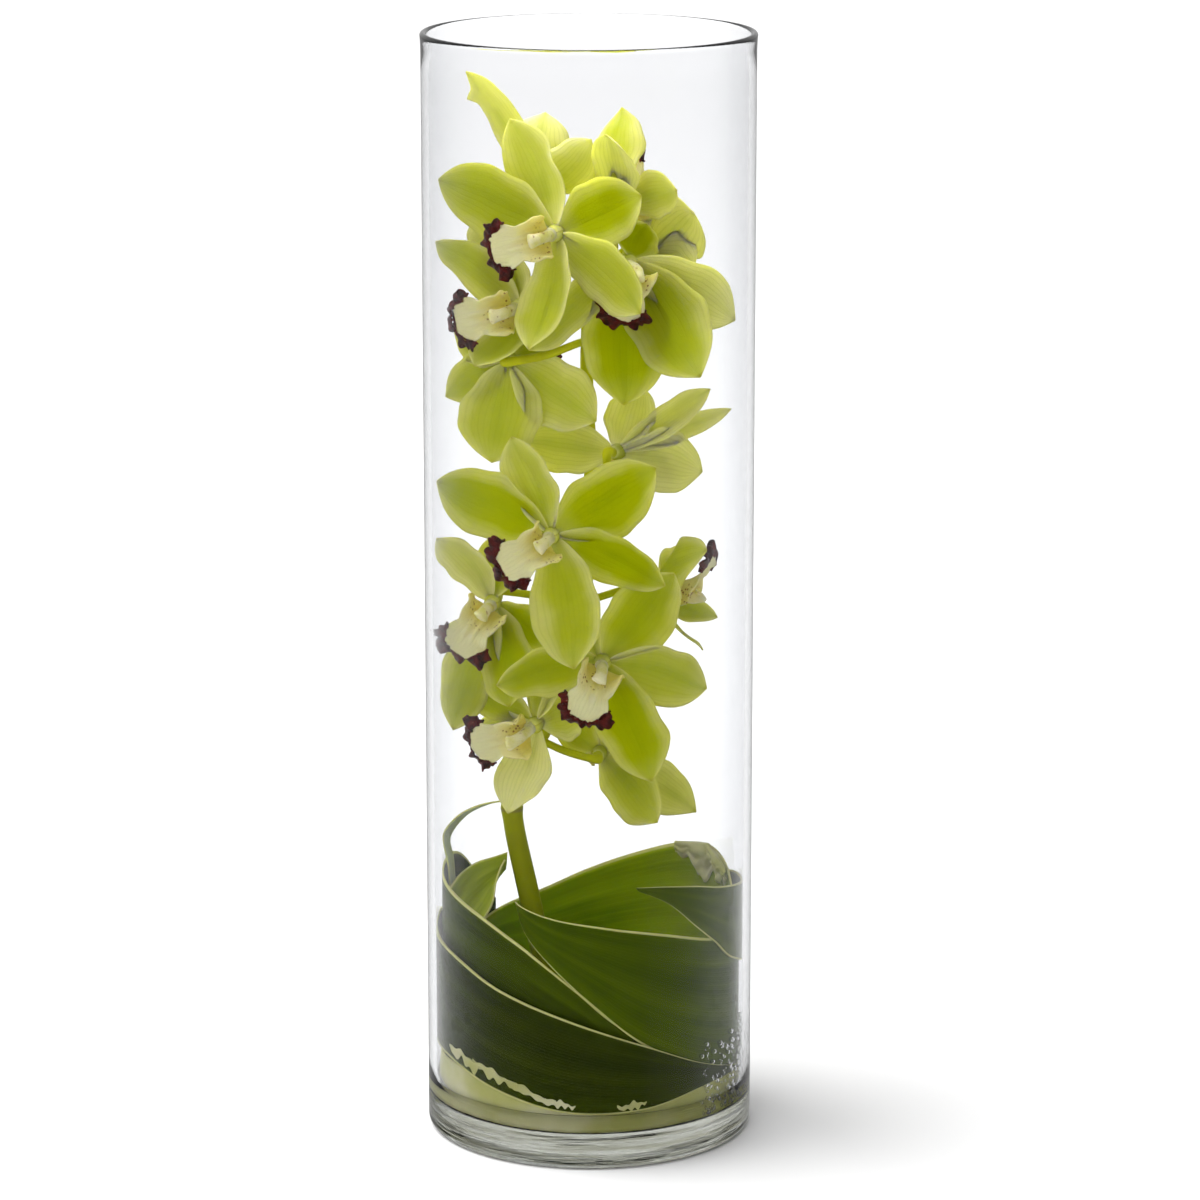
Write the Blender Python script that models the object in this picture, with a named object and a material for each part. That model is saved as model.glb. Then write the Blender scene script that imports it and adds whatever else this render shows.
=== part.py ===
"""A cymbidium orchid stem standing in a tall glass cylinder, wrapped at its foot in broad leaves.

Lengths below are in millimetres and angles in degrees, and MM turns millimetres into metres.
+Z is up, the front is towards -Y, and the origin is the middle of the vase's underside.
"""
import math

import bmesh
import bpy
import numpy as np

MM = 0.001
GAP = 0.3

VASE_HEIGHT = 508.0
VASE_RADIUS = 75.0
VASE_WALL = 3.5
VASE_FLOOR = 16.0
VASE_SIDES = 48
FOOT_ROUNDING = 4.0
RIM_ROUNDING = 1.2
INNER_RADIUS = VASE_RADIUS - VASE_WALL

WATER_TOP = 24.0

STEM_SIDES = 8
STEM_HOLE_RADIUS = 6.6
STEM_FOOT_RADIUS = 5.2
STEM_TIP_RADIUS = 2.4
PEDICEL_RADIUS = 1.8
STEM_PATH = [(-9, 2, 17.6), (-27, 8, 101), (-36, 14, 146), (-31, 18, 165), (-21, 20, 183),
             (-11, 20, 202), (-4, 19, 235), (-1, 17, 263), (1, 15, 302), (-1, 14, 343),
             (0, 13, 386), (3, 12, 413), (4, 10, 436)]

BLADE_THICKNESS = 0.8
BLADE_ROWS = 5
TEPAL_ROOT = 0.18
TEPAL_WIDEST = 0.52
HUB_RADIUS = 4.0
HUB_BACK_RADIUS = 2.8
HUB_FRONT = 1.8
HUB_BACK = -7.0

LIP_THICKNESS = 1.0
LIP_LENGTH = 36.0
LIP_FOOT_RADIUS = 3.2
LIP_LINE = [(-1.0, 3.4), (-3.5, 9.0), (-5.5, 15.0), (-10.0, 21.0), (-16.5, 24.0), (-23.5, 22.5)]
LOBE_START = 0.60
LOBE_LENGTH = 0.25
LOBE_HALF_WIDTH = 9.5
MARGIN_GAP = 0.4
MARGIN_WIDTH = 3.6

LEAF_THICKNESS = 0.8
OUTER_LAYER = 70.6
MIDDLE_LAYER = 69.1
INNER_LAYER = 67.7
BACK_LAYER = 66.2

COLOURS = {
    "glass": (0.86, 0.89, 0.88, 0.0, 0.03), "water": (0.80, 0.86, 0.80, 0.0, 0.02),
    "tepal": (0.42, 0.47, 0.05, 0.0, 0.5), "lip": (0.66, 0.58, 0.30, 0.0, 0.5),
    "margin": (0.10, 0.010, 0.008, 0.0, 0.45), "stem": (0.22, 0.26, 0.04, 0.0, 0.5),
    "leaf": (0.06, 0.10, 0.01, 0.0, 0.35),
}


def tepal(turn, length, lean, width, bow=5.0, cup=0.2, twist=0.0):
    """One petal or sepal.

    turn goes round the bloom from its right side, lean is how far it points out of the bloom's
    plane, bow sags its middle backwards, cup raises its edges and twist turns its tip.
    """
    return {"turn": turn, "length": length, "lean": lean, "width": width,
            "bow": bow, "cup": cup, "twist": twist}


BLOOMS = {
    "bloom_a": {"centre": (-15, -24, 421), "faces": (-40, -5), "roll": -75, "tepals": {
        "left": tepal(158, 61, 15, 36, 6, 0.25),
        "up": tepal(117, 55, -2, 32, 6),
        "down": tepal(-84, 54, 31, 29, 5, 0.25),
        "right_up": tepal(28, 42, -46, 31, 4),
        "right_down": tepal(-40, 53, -10, 32, 3),
    }},
    "bloom_b": {"centre": (-24, 14, 435), "faces": (165, 30), "roll": 0, "tepals": {
        "left": tepal(62, 62, 14, 17, -6, 0.2, 35),
        "mid": tepal(95, 35, 44, 30, 6),
        "right": tepal(145, 34, 27, 24, 8),
        "low_left": tepal(-45, 51, -1, 24),
        "low_right": tepal(-93, 52, 8, 24),
    }},
    "bloom_c": {"centre": (15, 4, 429), "faces": (135, 15), "roll": 120, "tepals": {
        "front": tepal(100, 39, -10, 26, -4, -0.2),
        "up": tepal(82, 44, 26, 30, 6, 0.25),
        "right": tepal(166, 28, 26, 22, -4),
        "back": tepal(10, 45, 34, 20),
        "low": tepal(-40, 46, 17, 22),
    }},
    "bloom_n": {"centre": (24, 20, 404), "faces": (155, 5), "roll": 60, "tepals": {
        "up": tepal(141, 36, -4, 34, -5),
        "low": tepal(-163, 29, -11, 34, -5),
        "down": tepal(-117, 32, -1, 28),
        "back_up": tepal(70, 30, 37, 22),
        "back_low": tepal(-52, 47, 7, 24),
    }},
    "bloom_d": {"centre": (-31, -14, 386), "faces": (-45, -6), "roll": -80, "tepals": {
        "left": tepal(141, 49, 19, 26),
        "up": tepal(120, 32, 8, 28, 6, 0.25),
        "low": tepal(-106, 33, 50, 24, 6, 0.25),
        "right": tepal(67, 25, -44, 16, 4),
        "right_low": tepal(-70, 21, -21, 16, 4),
    }},
    "bloom_e": {"centre": (18, -2, 404), "faces": (8, -18), "roll": -28, "tepals": {
        "right": tepal(-25, 54, 17, 32, 6),
        "right_low": tepal(-54, 61, 38, 38, 8, 0.3),
        "low": tepal(-94, 63, 30, 40, 8, 0.3),
        "left": tepal(-151, 63, 30, 22, 2),
        "up": tepal(61, 20, -24, 22),
    }},
    "bloom_f": {"centre": (-36, -6, 361), "faces": (178, -6), "roll": -105, "tepals": {
        "down": tepal(-81, 47, -2, 38, -5, -0.2),
        "right": tepal(-145, 48, 0, 32, -4, -0.2),
        "left": tepal(-31, 35, 15, 22, -4, -0.2),
        "up_left": tepal(26, 30, 23, 20, -4, -0.2),
        "up_right": tepal(156, 29, 39, 18, -3, -0.1),
    }, "route": [(0, 13, 366), (-4, -2, 368), (-20, -13, 364)]},
    "bloom_g": {"centre": (13, 2, 317), "faces": (158, -8), "roll": -36, "tepals": {
        "left": tepal(4, 44, -23, 26, -4, -0.2),
        "strap": tepal(141, 51, 15, 15, -8, -0.2),
        "thin": tepal(154, 57, 28, 11, -6, -0.2),
        "low": tepal(-167, 41, 32, 30, -5, -0.2),
        "up": tepal(97, 34, 26, 24, -5, -0.2),
    }, "route": [(0, 15, 292), (4, 3, 299), (8, -6, 309)]},
    "bloom_h": {"centre": (-17, -26, 284), "faces": (-22, -8), "roll": -58, "tepals": {
        "left": tepal(161, 61, -5, 34, 5, 0.25),
        "up": tepal(115, 48, -8, 25, 5, 0.25),
        "right_up": tepal(33, 56, -23, 33),
        "right_low": tepal(-22, 56, -5, 25, 4),
        "down": tepal(-72, 61, 23, 36, 5, 0.3),
    }},
    "bloom_i": {"centre": (-44, -4, 248), "faces": (-18, -12), "roll": -34, "tepals": {
        "left": tepal(124, 40, 7, 22, 6, 0.3),
        "up": tepal(93, 34, -37, 26),
        "right": tepal(-38, 32, 0, 22, 4),
        "low": tepal(-78, 48, 21, 28, 6, 0.25),
        "low_left": tepal(-109, 66, 10, 26, 3),
    }},
    "bloom_j": {"centre": (6, -24, 225), "faces": (-8, -18), "roll": -27, "tepals": {
        "right_up": tepal(51, 53, -15, 32, 6, 0.25),
        "right": tepal(-22, 50, -8, 34, 6, 0.25),
        "low": tepal(-66, 59, 19, 32),
        "left": tepal(-177, 49, 22, 27, 5, 0.25),
        "up": tepal(146, 32, -36, 18, 4),
    }},
    "bloom_k": {"centre": (-25, -10, 192), "faces": (-45, -15), "roll": -85, "tepals": {
        "down": tepal(-90, 42, 39, 30, 4),
        "front": tepal(21, 23, -36, 26),
        "left": tepal(162, 42, 7, 24),
        "up": tepal(95, 32, -31, 24),
        "back": tepal(-159, 48, 5, 20),
    }},
    "bloom_l": {"centre": (5, 14, 173), "faces": (172, 0), "roll": 150, "tepals": {
        "left": tepal(-135, 43, -19, 27, -5, -0.2),
        "right": tepal(-145, 55, 15, 25, -4, -0.2),
        "up": tepal(131, 32, 24, 22, 4),
        "back": tepal(45, 29, 19, 22, 4),
        "far": tepal(-141, 34, 56, 22, 4),
    }, "route": [(-24, 19, 178), (-10, 10, 174)]},
    "bloom_m": {"centre": (33, 8, 252), "faces": (75, 0), "roll": 170, "tepals": {
        "front": tepal(130, 40, 40, 28, 6, 0.25),
        "low": tepal(-43, 33, 47, 14, 6, 0.3),
        "thin": tepal(-95, 34, 40, 6, 4),
        "back": tepal(7, 39, 6, 24),
        "back_low": tepal(-51, 47, -12, 24),
    }},
}

LEAVES = {
    "leaf_low": {
        "top": [(-120, OUTER_LAYER, 78), (-100, OUTER_LAYER, 99), (-61, OUTER_LAYER, 92),
                (-35, OUTER_LAYER, 81), (-8, OUTER_LAYER, 70), (20, OUTER_LAYER, 57),
                (46, OUTER_LAYER, 43), (71, OUTER_LAYER, 34), (92, OUTER_LAYER, 31)],
        "bottom": [(-120, OUTER_LAYER, 72), (-100, OUTER_LAYER, 50), (-61, OUTER_LAYER, 45),
                   (-35, OUTER_LAYER, 39), (-8, OUTER_LAYER, 27), (20, OUTER_LAYER, 25.5),
                   (46, OUTER_LAYER, 27), (71, OUTER_LAYER, 28), (92, OUTER_LAYER, 29)]},
    "leaf_mid": {
        "top": [(-138, INNER_LAYER, 92), (-112, INNER_LAYER, 122), (-77, INNER_LAYER, 121),
                (-49, INNER_LAYER, 114), (-31, INNER_LAYER, 105), (-19, INNER_LAYER, 96),
                (-5, INNER_LAYER, 83), (10, INNER_LAYER, 67), (30, INNER_LAYER, 52)],
        "bottom": [(-138, INNER_LAYER, 86), (-112, INNER_LAYER, 60), (-77, INNER_LAYER, 50),
                   (-49, INNER_LAYER, 46), (-31, INNER_LAYER, 43), (-19, INNER_LAYER, 41),
                   (-5, INNER_LAYER, 40), (10, INNER_LAYER, 40), (30, INNER_LAYER, 42)]},
    "leaf_wide": {
        "top": [(-37, 55, 118), (-26, 62, 117.5), (-12, 68, 116), (6, 68.9, 113),
                (28, MIDDLE_LAYER, 108), (50, MIDDLE_LAYER, 101), (73, MIDDLE_LAYER, 95),
                (98, MIDDLE_LAYER, 84), (120, MIDDLE_LAYER, 64)],
        "bottom": [(-35, 56, 116), (-25, 65, 106), (-15, 68.2, 95), (0, MIDDLE_LAYER, 78),
                   (20, MIDDLE_LAYER, 57), (45, MIDDLE_LAYER, 41), (71, MIDDLE_LAYER, 33),
                   (98, MIDDLE_LAYER, 36), (120, MIDDLE_LAYER, 57)]},
    "leaf_right": {
        "top": [(17, OUTER_LAYER, 131.5), (28, OUTER_LAYER, 130.5), (42, OUTER_LAYER, 128),
                (56, OUTER_LAYER, 124), (75, OUTER_LAYER, 120), (100, OUTER_LAYER, 116),
                (120, OUTER_LAYER, 110), (138, OUTER_LAYER, 100)],
        "bottom": [(18, OUTER_LAYER, 130), (30, OUTER_LAYER, 122), (42, OUTER_LAYER, 109),
                   (52, OUTER_LAYER, 99), (65, OUTER_LAYER, 87), (92, OUTER_LAYER, 78),
                   (120, OUTER_LAYER, 82), (138, OUTER_LAYER, 95)]},
    "leaf_back": {
        "top": [(84, BACK_LAYER, 108), (100, BACK_LAYER, 118), (120, BACK_LAYER, 123),
                (140, BACK_LAYER, 119), (160, BACK_LAYER, 111), (180, BACK_LAYER, 102),
                (200, BACK_LAYER, 93), (225, BACK_LAYER, 86), (248, BACK_LAYER, 76)],
        "bottom": [(80, BACK_LAYER, 76), (100, BACK_LAYER, 43), (120, BACK_LAYER, 36),
                   (140, BACK_LAYER, 34), (160, BACK_LAYER, 33), (180, BACK_LAYER, 33),
                   (200, BACK_LAYER, 36), (225, BACK_LAYER, 48), (248, BACK_LAYER, 69)]},
    "leaf_loop": {
        "top": [(-86, 64.4, 112), (-87, 65.4, 124), (-88, 67.4, 134), (-88, 66.5, 140),
                (-89, 60.0, 147), (-91, 51.0, 151), (-96, 41.0, 152), (-103, 33.5, 151)],
        "bottom": [(-98, 63.6, 112), (-98, 64.6, 124), (-98, 66.0, 132), (-98, 63.5, 138),
                   (-99, 57.0, 145), (-101, 49.0, 149), (-104, 42.0, 150.5), (-106, 34.5, 150)]},
    "leaf_curl": {
        "top": [(-78, 66.3, 114), (-86, 62.6, 116), (-94, 59.0, 118.5), (-101, 54.0, 121),
                (-108, 47.0, 122.5), (-114, 42.0, 124)],
        "bottom": [(-68, 62.0, 97), (-69, 55.0, 99), (-72, 49.0, 104), (-80, 45.0, 108),
                   (-91, 43.0, 115), (-106, 41.0, 122)],
        "sag": 6.0},
}


def clear_scene():
    for item in list(bpy.data.objects):
        bpy.data.objects.remove(item, do_unlink=True)


def material(name):
    """The material of that name, made once."""
    if name in bpy.data.materials:
        return bpy.data.materials[name]
    made = bpy.data.materials.new(name)
    made.use_nodes = True
    red, green, blue, metallic, roughness = COLOURS[name]
    shader = made.node_tree.nodes["Principled BSDF"]
    shader.inputs["Base Color"].default_value = (red, green, blue, 1.0)
    shader.inputs["Metallic"].default_value = metallic
    shader.inputs["Roughness"].default_value = roughness
    return made


def mesh_object(name, points, faces, finish):
    """An object from points in millimetres, its faces turned outwards."""
    mesh = bpy.data.meshes.new(name)
    mesh.from_pydata([tuple(float(v) * MM for v in p) for p in points], [], faces)
    work = bmesh.new()
    work.from_mesh(mesh)
    bmesh.ops.recalc_face_normals(work, faces=work.faces)
    work.to_mesh(mesh)
    work.free()
    mesh.shade_smooth()
    mesh.set_sharp_from_angle(angle=math.radians(40))
    mesh.materials.append(material(finish))
    made = bpy.data.objects.new(name, mesh)
    bpy.context.scene.collection.objects.link(made)
    return made


def fuse(name, parts):
    """Joins overlapping closed parts into the first of them, as one body."""
    base = parts[0]
    group = bpy.data.collections.new(name + "_parts")
    bpy.context.scene.collection.children.link(group)
    for part in parts[1:]:
        bpy.context.scene.collection.objects.unlink(part)
        group.objects.link(part)
    join = base.modifiers.new("join", "BOOLEAN")
    join.operation = "UNION"
    join.operand_type = "COLLECTION"
    join.collection = group
    join.solver = "MANIFOLD"
    depsgraph = bpy.context.evaluated_depsgraph_get()
    joined = bpy.data.meshes.new_from_object(base.evaluated_get(depsgraph))
    base.modifiers.clear()
    base.data = joined
    for part in parts[1:]:
        bpy.data.objects.remove(part, do_unlink=True)
    bpy.data.collections.remove(group)
    base.name = name
    base.data.name = name
    return base


def unit(vector):
    vector = np.asarray(vector, float)
    return vector / np.linalg.norm(vector)


def sheet_faces(rows, columns):
    """Triangles of a two-sided sheet whose front points come first, row by row, then its back."""
    back = rows * columns
    faces = []
    for i in range(rows - 1):
        for j in range(columns - 1):
            a, b = i * columns + j, i * columns + j + 1
            c, d = a + columns, b + columns
            for first, second, third in ((a, b, d), (a, d, c)):
                faces.append((first, second, third))
                faces.append((back + third, back + second, back + first))
    rim = [j for j in range(columns)]
    rim += [i * columns + columns - 1 for i in range(1, rows)]
    rim += [(rows - 1) * columns + j for j in range(columns - 2, -1, -1)]
    rim += [i * columns for i in range(rows - 2, 0, -1)]
    for here, after in zip(rim, rim[1:] + rim[:1]):
        faces.append((here, back + here, after))
        faces.append((after, back + here, back + after))
    return faces


def sheet(name, grid, normals, thickness, finish):
    """A closed blade from a grid of middle points [rows][columns] and the normals there."""
    grid, normals = np.asarray(grid, float), np.asarray(normals, float)
    rows, columns = grid.shape[:2]
    half = normals * thickness / 2
    points = np.concatenate([(grid + half).reshape(-1, 3), (grid - half).reshape(-1, 3)])
    return mesh_object(name, points, sheet_faces(rows, columns), finish)


def grid_normals(grid):
    """The unit normal at each point of a grid, from its neighbours along and across."""
    grid = np.asarray(grid, float)
    along = np.gradient(grid, axis=0)
    across = np.gradient(grid, axis=1)
    normal = np.cross(across, along)
    return normal / np.linalg.norm(normal, axis=2, keepdims=True)


def tube(name, path, radii, sides, finish, end_along=None):
    """A closed tube along points, with flat ends, the last of them square to end_along."""
    path = np.asarray(path, float)
    tangents = np.gradient(path, axis=0)
    if end_along is not None:
        tangents[-1] = end_along
    points = []
    for centre, tangent, radius in zip(path, tangents, radii):
        along = unit(tangent)
        guide = (0, 1, 0) if abs(along[1]) < 0.8 else (0, 0, 1)
        side = unit(np.cross(along, guide))
        other = np.cross(along, side)
        for k in range(sides):
            turn = 2 * math.pi * k / sides
            points.append(centre + radius * (side * math.cos(turn) + other * math.sin(turn)))
    faces = []
    for i in range(len(path) - 1):
        for k in range(sides):
            a, b = i * sides + k, i * sides + (k + 1) % sides
            faces.append((a, b, b + sides, a + sides))
    faces.append(tuple(range(sides - 1, -1, -1)))
    last = (len(path) - 1) * sides
    faces.append(tuple(range(last, last + sides)))
    return mesh_object(name, points, faces, finish)


def smooth_path(points, count):
    """Evenly numbered points on a Catmull-Rom curve through the given ones."""
    points = np.asarray(points, float)
    ends = np.vstack([2 * points[0] - points[1], points, 2 * points[-1] - points[-2]])
    result = []
    for place in np.linspace(0, len(points) - 1, count):
        i = min(int(place), len(points) - 2)
        t = place - i
        p0, p1, p2, p3 = ends[i:i + 4]
        result.append(0.5 * (2 * p1 + (p2 - p0) * t + (2 * p0 - 5 * p1 + 4 * p2 - p3) * t * t
                             + (3 * p1 - p0 - 3 * p2 + p3) * t ** 3))
    return np.array(result)


def facing(azimuth, elevation):
    """The way a bloom looks: azimuth 0 is the front and 90 the right."""
    turn, lift = math.radians(azimuth), math.radians(elevation)
    return np.array([math.sin(turn) * math.cos(lift), -math.cos(turn) * math.cos(lift), math.sin(lift)])


def level_frame(bloom):
    """The bloom's right, up and outward directions before it rolls."""
    out = facing(*bloom["faces"])
    right = unit(np.cross((0, 0, 1), out))
    return right, np.cross(out, right), out


def bloom_frame(bloom):
    """The right, up and outward directions of the bloom's lip, which points down before it rolls."""
    right, up, out = level_frame(bloom)
    roll = math.radians(bloom["roll"])
    across = right * math.cos(roll) + up * math.sin(roll)
    return across, up * math.cos(roll) - right * math.sin(roll), out


def tepal_outline(t):
    """Half of the width at a share t of the length, where 1 is the widest."""
    if t < TEPAL_WIDEST:
        return TEPAL_ROOT + (1 - TEPAL_ROOT) * math.sin(math.pi / 2 * t / TEPAL_WIDEST) ** 0.8
    left = (t - TEPAL_WIDEST) / (1 - TEPAL_WIDEST)
    return max(0.06, math.cos(math.pi / 2 * left ** 1.8) ** 0.8)


def tepal_grid(bloom, blade, rows, columns):
    """Middle points of a tepal from its root in the hub to its tip."""
    centre = np.array(bloom["centre"], float)
    right, up, out = level_frame(bloom)
    turn, lean = math.radians(blade["turn"]), math.radians(blade["lean"])
    away = right * math.cos(turn) + up * math.sin(turn)
    tip = centre + blade["length"] * (away * math.cos(lean) + out * math.sin(lean))
    root = centre + away * (HUB_RADIUS - 1.6) - out * 1.5
    axis = tip - root
    along = unit(axis)
    normal = unit(out - along * np.dot(out, along))
    across = np.cross(along, normal)
    grid = []
    for t in np.linspace(0, 1, rows):
        turn = math.radians(blade["twist"]) * t
        side = across * math.cos(turn) + normal * math.sin(turn)
        face = normal * math.cos(turn) - across * math.sin(turn)
        middle = root + axis * t - normal * blade["bow"] * 4 * t * (1 - t)
        half = blade["width"] / 2 * tepal_outline(t)
        grid.append([middle + side * half * u + face * blade["cup"] * half * u * u
                     for u in np.linspace(-1, 1, columns)])
    return np.array(grid)


def hub(name, bloom):
    """The short green receptacle that the five tepals grow from."""
    centre, out = np.array(bloom["centre"], float), facing(*bloom["faces"])
    places = [centre + out * HUB_BACK, centre - out * 2.0, centre + out * HUB_FRONT]
    return tube(name, places, (HUB_BACK_RADIUS, HUB_RADIUS, HUB_RADIUS), 6, "tepal")


def add_tepals(name, bloom):
    parts = [hub(name, bloom)]
    for place, blade in bloom["tepals"].items():
        grid = tepal_grid(bloom, blade, BLADE_ROWS + 1, 3)
        parts.append(sheet(name + "_" + place, grid, grid_normals(grid), BLADE_THICKNESS, "tepal"))
    return fuse(name + "_tepals", parts)


def lip_surface(bloom, s, x):
    """A point of the lip's upper face: s runs from 0 at its root to 1 at its end, x is sideways."""
    right, up, out = bloom_frame(bloom)
    line = smooth_path([(0, drop, reach) for drop, reach in LIP_LINE], 41)
    drop, reach = line[int(round(min(s, 1.0) * 40))][1:]
    trough = 0.055 * x * x * max(0.0, 1 - ((s - 0.30) / 0.30) ** 2)
    curl = 0.012 * x * x * max(0.0, s - LOBE_START) / (1 - LOBE_START)
    return np.array(bloom["centre"], float) + right * x + up * (drop + trough) + out * (reach - curl)


def lip_half_width(s):
    """Half of the cream part's width at a share s of its length."""
    if s <= 0.30:
        return 3.0 + 8.0 * math.sin(math.pi / 2 * s / 0.30)
    if s <= LOBE_START:
        return 11.0 - (11.0 - LOBE_HALF_WIDTH) * (s - 0.30) / (LOBE_START - 0.30)
    return LOBE_HALF_WIDTH * math.sqrt(max(0.05, 1 - ((s - LOBE_START) / LOBE_LENGTH) ** 2))


def add_lip(name, bloom):
    rows = [0.0, 0.15, 0.30, 0.45, LOBE_START,
            LOBE_START + 0.6 * LOBE_LENGTH, LOBE_START + 0.92 * LOBE_LENGTH]
    shares = (-1, -0.5, 0, 0.5, 1)
    grid = np.array([[lip_surface(bloom, s, u * lip_half_width(s)) for u in shares] for s in rows])
    body = sheet(name, grid, grid_normals(grid), LIP_THICKNESS, "lip")
    right, up, out = bloom_frame(bloom)
    centre = np.array(bloom["centre"], float)
    foot = tube(name + "_foot", [centre + out * (HUB_FRONT + GAP), centre + out * 5.0],
                (LIP_FOOT_RADIUS, LIP_FOOT_RADIUS), 6, "lip")
    places = [centre + out * 3.0, centre + out * 9 + up * 2.5, centre + out * 15 + up * 3.5,
              centre + out * 19 + up * 2.0]
    column = tube(name + "_column", places, (2.4, 2.6, 3.0, 2.0), 6, "lip")
    return fuse(name + "_lip", [foot, body, column])


def margin_place(reach, side, angle, wave):
    """Where the margin's edge lies on the lip, at an angle round the middle lobe's centre."""
    turn = math.radians(angle)
    share = LOBE_START + (LOBE_LENGTH + reach * (1 + wave)) * math.cos(turn)
    return share, (LOBE_HALF_WIDTH + side * (1 + wave)) * math.sin(turn)


def add_margin(name, bloom):
    """The dark frilled margin round the lip's end."""
    inner, outer = [], []
    for k in range(11):
        angle = -90 + 180 * k / 10
        wave = 0.25 * math.sin(k * 2.2)
        near = margin_place(MARGIN_GAP * 2 / LIP_LENGTH, MARGIN_GAP, angle, 0)
        far = margin_place(MARGIN_WIDTH / LIP_LENGTH, MARGIN_WIDTH, angle, wave)
        inner.append(lip_surface(bloom, *near))
        outer.append(lip_surface(bloom, *far))
    grid = np.array([inner, outer])
    return sheet(name + "_lip_margin", grid, grid_normals(grid), LIP_THICKNESS, "margin")


def add_vase():
    """The thick-footed glass cylinder, turned from its outline."""
    outer, inner = VASE_RADIUS, VASE_RADIUS - VASE_WALL
    profile = [(0.0, 0.0), (outer - FOOT_ROUNDING, 0.0)]
    for k in range(1, 4):
        turn = math.radians(-90 + 30 * k)
        profile.append((outer - FOOT_ROUNDING + FOOT_ROUNDING * math.cos(turn),
                        FOOT_ROUNDING + FOOT_ROUNDING * math.sin(turn)))
    profile += [(outer, VASE_HEIGHT - RIM_ROUNDING), (outer - RIM_ROUNDING, VASE_HEIGHT),
                (inner + RIM_ROUNDING, VASE_HEIGHT), (inner, VASE_HEIGHT - RIM_ROUNDING),
                (inner, VASE_FLOOR + 3.0), (inner - 3.0, VASE_FLOOR), (0.0, VASE_FLOOR)]
    points, faces, rings = [], [], []
    for radius, height in profile:
        if radius == 0.0:
            rings.append([len(points)])
            points.append((0.0, 0.0, height))
            continue
        rings.append([len(points) + k for k in range(VASE_SIDES)])
        for k in range(VASE_SIDES):
            turn = 2 * math.pi * k / VASE_SIDES
            points.append((radius * math.cos(turn), radius * math.sin(turn), height))
    for low, high in zip(rings, rings[1:]):
        for k in range(VASE_SIDES):
            after = (k + 1) % VASE_SIDES
            if len(low) == 1:
                faces.append((low[0], high[after], high[k]))
            elif len(high) == 1:
                faces.append((low[k], low[after], high[0]))
            else:
                faces.append((low[k], low[after], high[after], high[k]))
    return mesh_object("vase", points, faces, "glass")


def around(angle, radius, height):
    """A point round the vase's axis, where angle 0 is the front and 90 the right."""
    turn = math.radians(angle)
    return np.array([radius * math.sin(turn), -radius * math.cos(turn), height])


def add_leaf(name, leaf):
    """A broad leaf wound round inside the vase, between its upper and its lower edge."""
    top, bottom = leaf["top"], leaf["bottom"]
    columns = 2 * len(top) - 1
    upper, lower = smooth_path(top, columns), smooth_path(bottom, columns)
    grid = []
    for high, low in zip(upper, lower):
        line = []
        for share in (0, 1 / 3, 2 / 3, 1):
            angle, radius, height = high + (low - high) * share
            line.append(around(angle, radius, height - leaf.get("sag", 0.0) * 4 * share * (1 - share)))
        grid.append(line)
    grid = np.array(grid)
    return sheet(name, grid, grid_normals(grid), LEAF_THICKNESS, "leaf")


def add_water():
    """The shallow water in the vase, with a plain hole where the stem stands."""
    edge = INNER_RADIUS - 0.4
    points, faces = [], []
    bottom = VASE_FLOOR + GAP
    for radius, height in ((edge - 3.0, bottom), (edge, bottom + 3.0), (edge, WATER_TOP)):
        for k in range(VASE_SIDES):
            turn = 2 * math.pi * k / VASE_SIDES
            points.append((radius * math.cos(turn), radius * math.sin(turn), height))
    for ring in range(2):
        for k in range(VASE_SIDES):
            a, b = ring * VASE_SIDES + k, ring * VASE_SIDES + (k + 1) % VASE_SIDES
            faces.append((a, b, b + VASE_SIDES, a + VASE_SIDES))
    faces.append(tuple(range(VASE_SIDES - 1, -1, -1)))
    faces.append(tuple(range(2 * VASE_SIDES, 3 * VASE_SIDES)))
    water = mesh_object("water", points, faces, "water")
    x, y = STEM_PATH[0][:2]
    hole = tube("stem_hole", [(x - 0.6, y, 10), (x - 0.6, y, 30)],
                (STEM_HOLE_RADIUS, STEM_HOLE_RADIUS), 16, "water")
    hole.hide_render = True
    hole.display_type = "WIRE"
    cut = water.modifiers.new("hole", "BOOLEAN")
    cut.operation = "DIFFERENCE"
    cut.object = hole
    return water


def add_stem():
    path = smooth_path(STEM_PATH, 22)
    radii = np.linspace(STEM_FOOT_RADIUS, STEM_TIP_RADIUS, len(path))
    parts = [tube("stem", path, radii, STEM_SIDES, "stem")]
    for name, bloom in BLOOMS.items():
        out = facing(*bloom["faces"])
        end = np.array(bloom["centre"], float) + out * (HUB_BACK - GAP)
        route = bloom.get("route")
        if route is None:
            below = end - out * 10 - np.array((0, 0, 12.0))
            route = [tuple(path[np.argmin(np.linalg.norm(path - below, axis=1))])]
        line = smooth_path([*route, end - out * 6, end], 5)
        radii = [PEDICEL_RADIUS] * 4 + [HUB_BACK_RADIUS - 0.2]
        parts.append(tube(name + "_pedicel", line, radii, 5, "stem", out))
    return fuse("stem", parts)


def main():
    clear_scene()
    add_vase()
    add_water()
    add_stem()
    for name, leaf in LEAVES.items():
        add_leaf(name, leaf)
    for name, bloom in BLOOMS.items():
        add_tepals(name, bloom)
        add_lip(name, bloom)
        add_margin(name, bloom)


main()
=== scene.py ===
"""The looks of a cymbidium orchid stem in a tall glass cylinder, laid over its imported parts.

Lengths are in millimetres and angles in degrees until a mesh is placed, which MM turns into metres.
"""
import math

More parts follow.
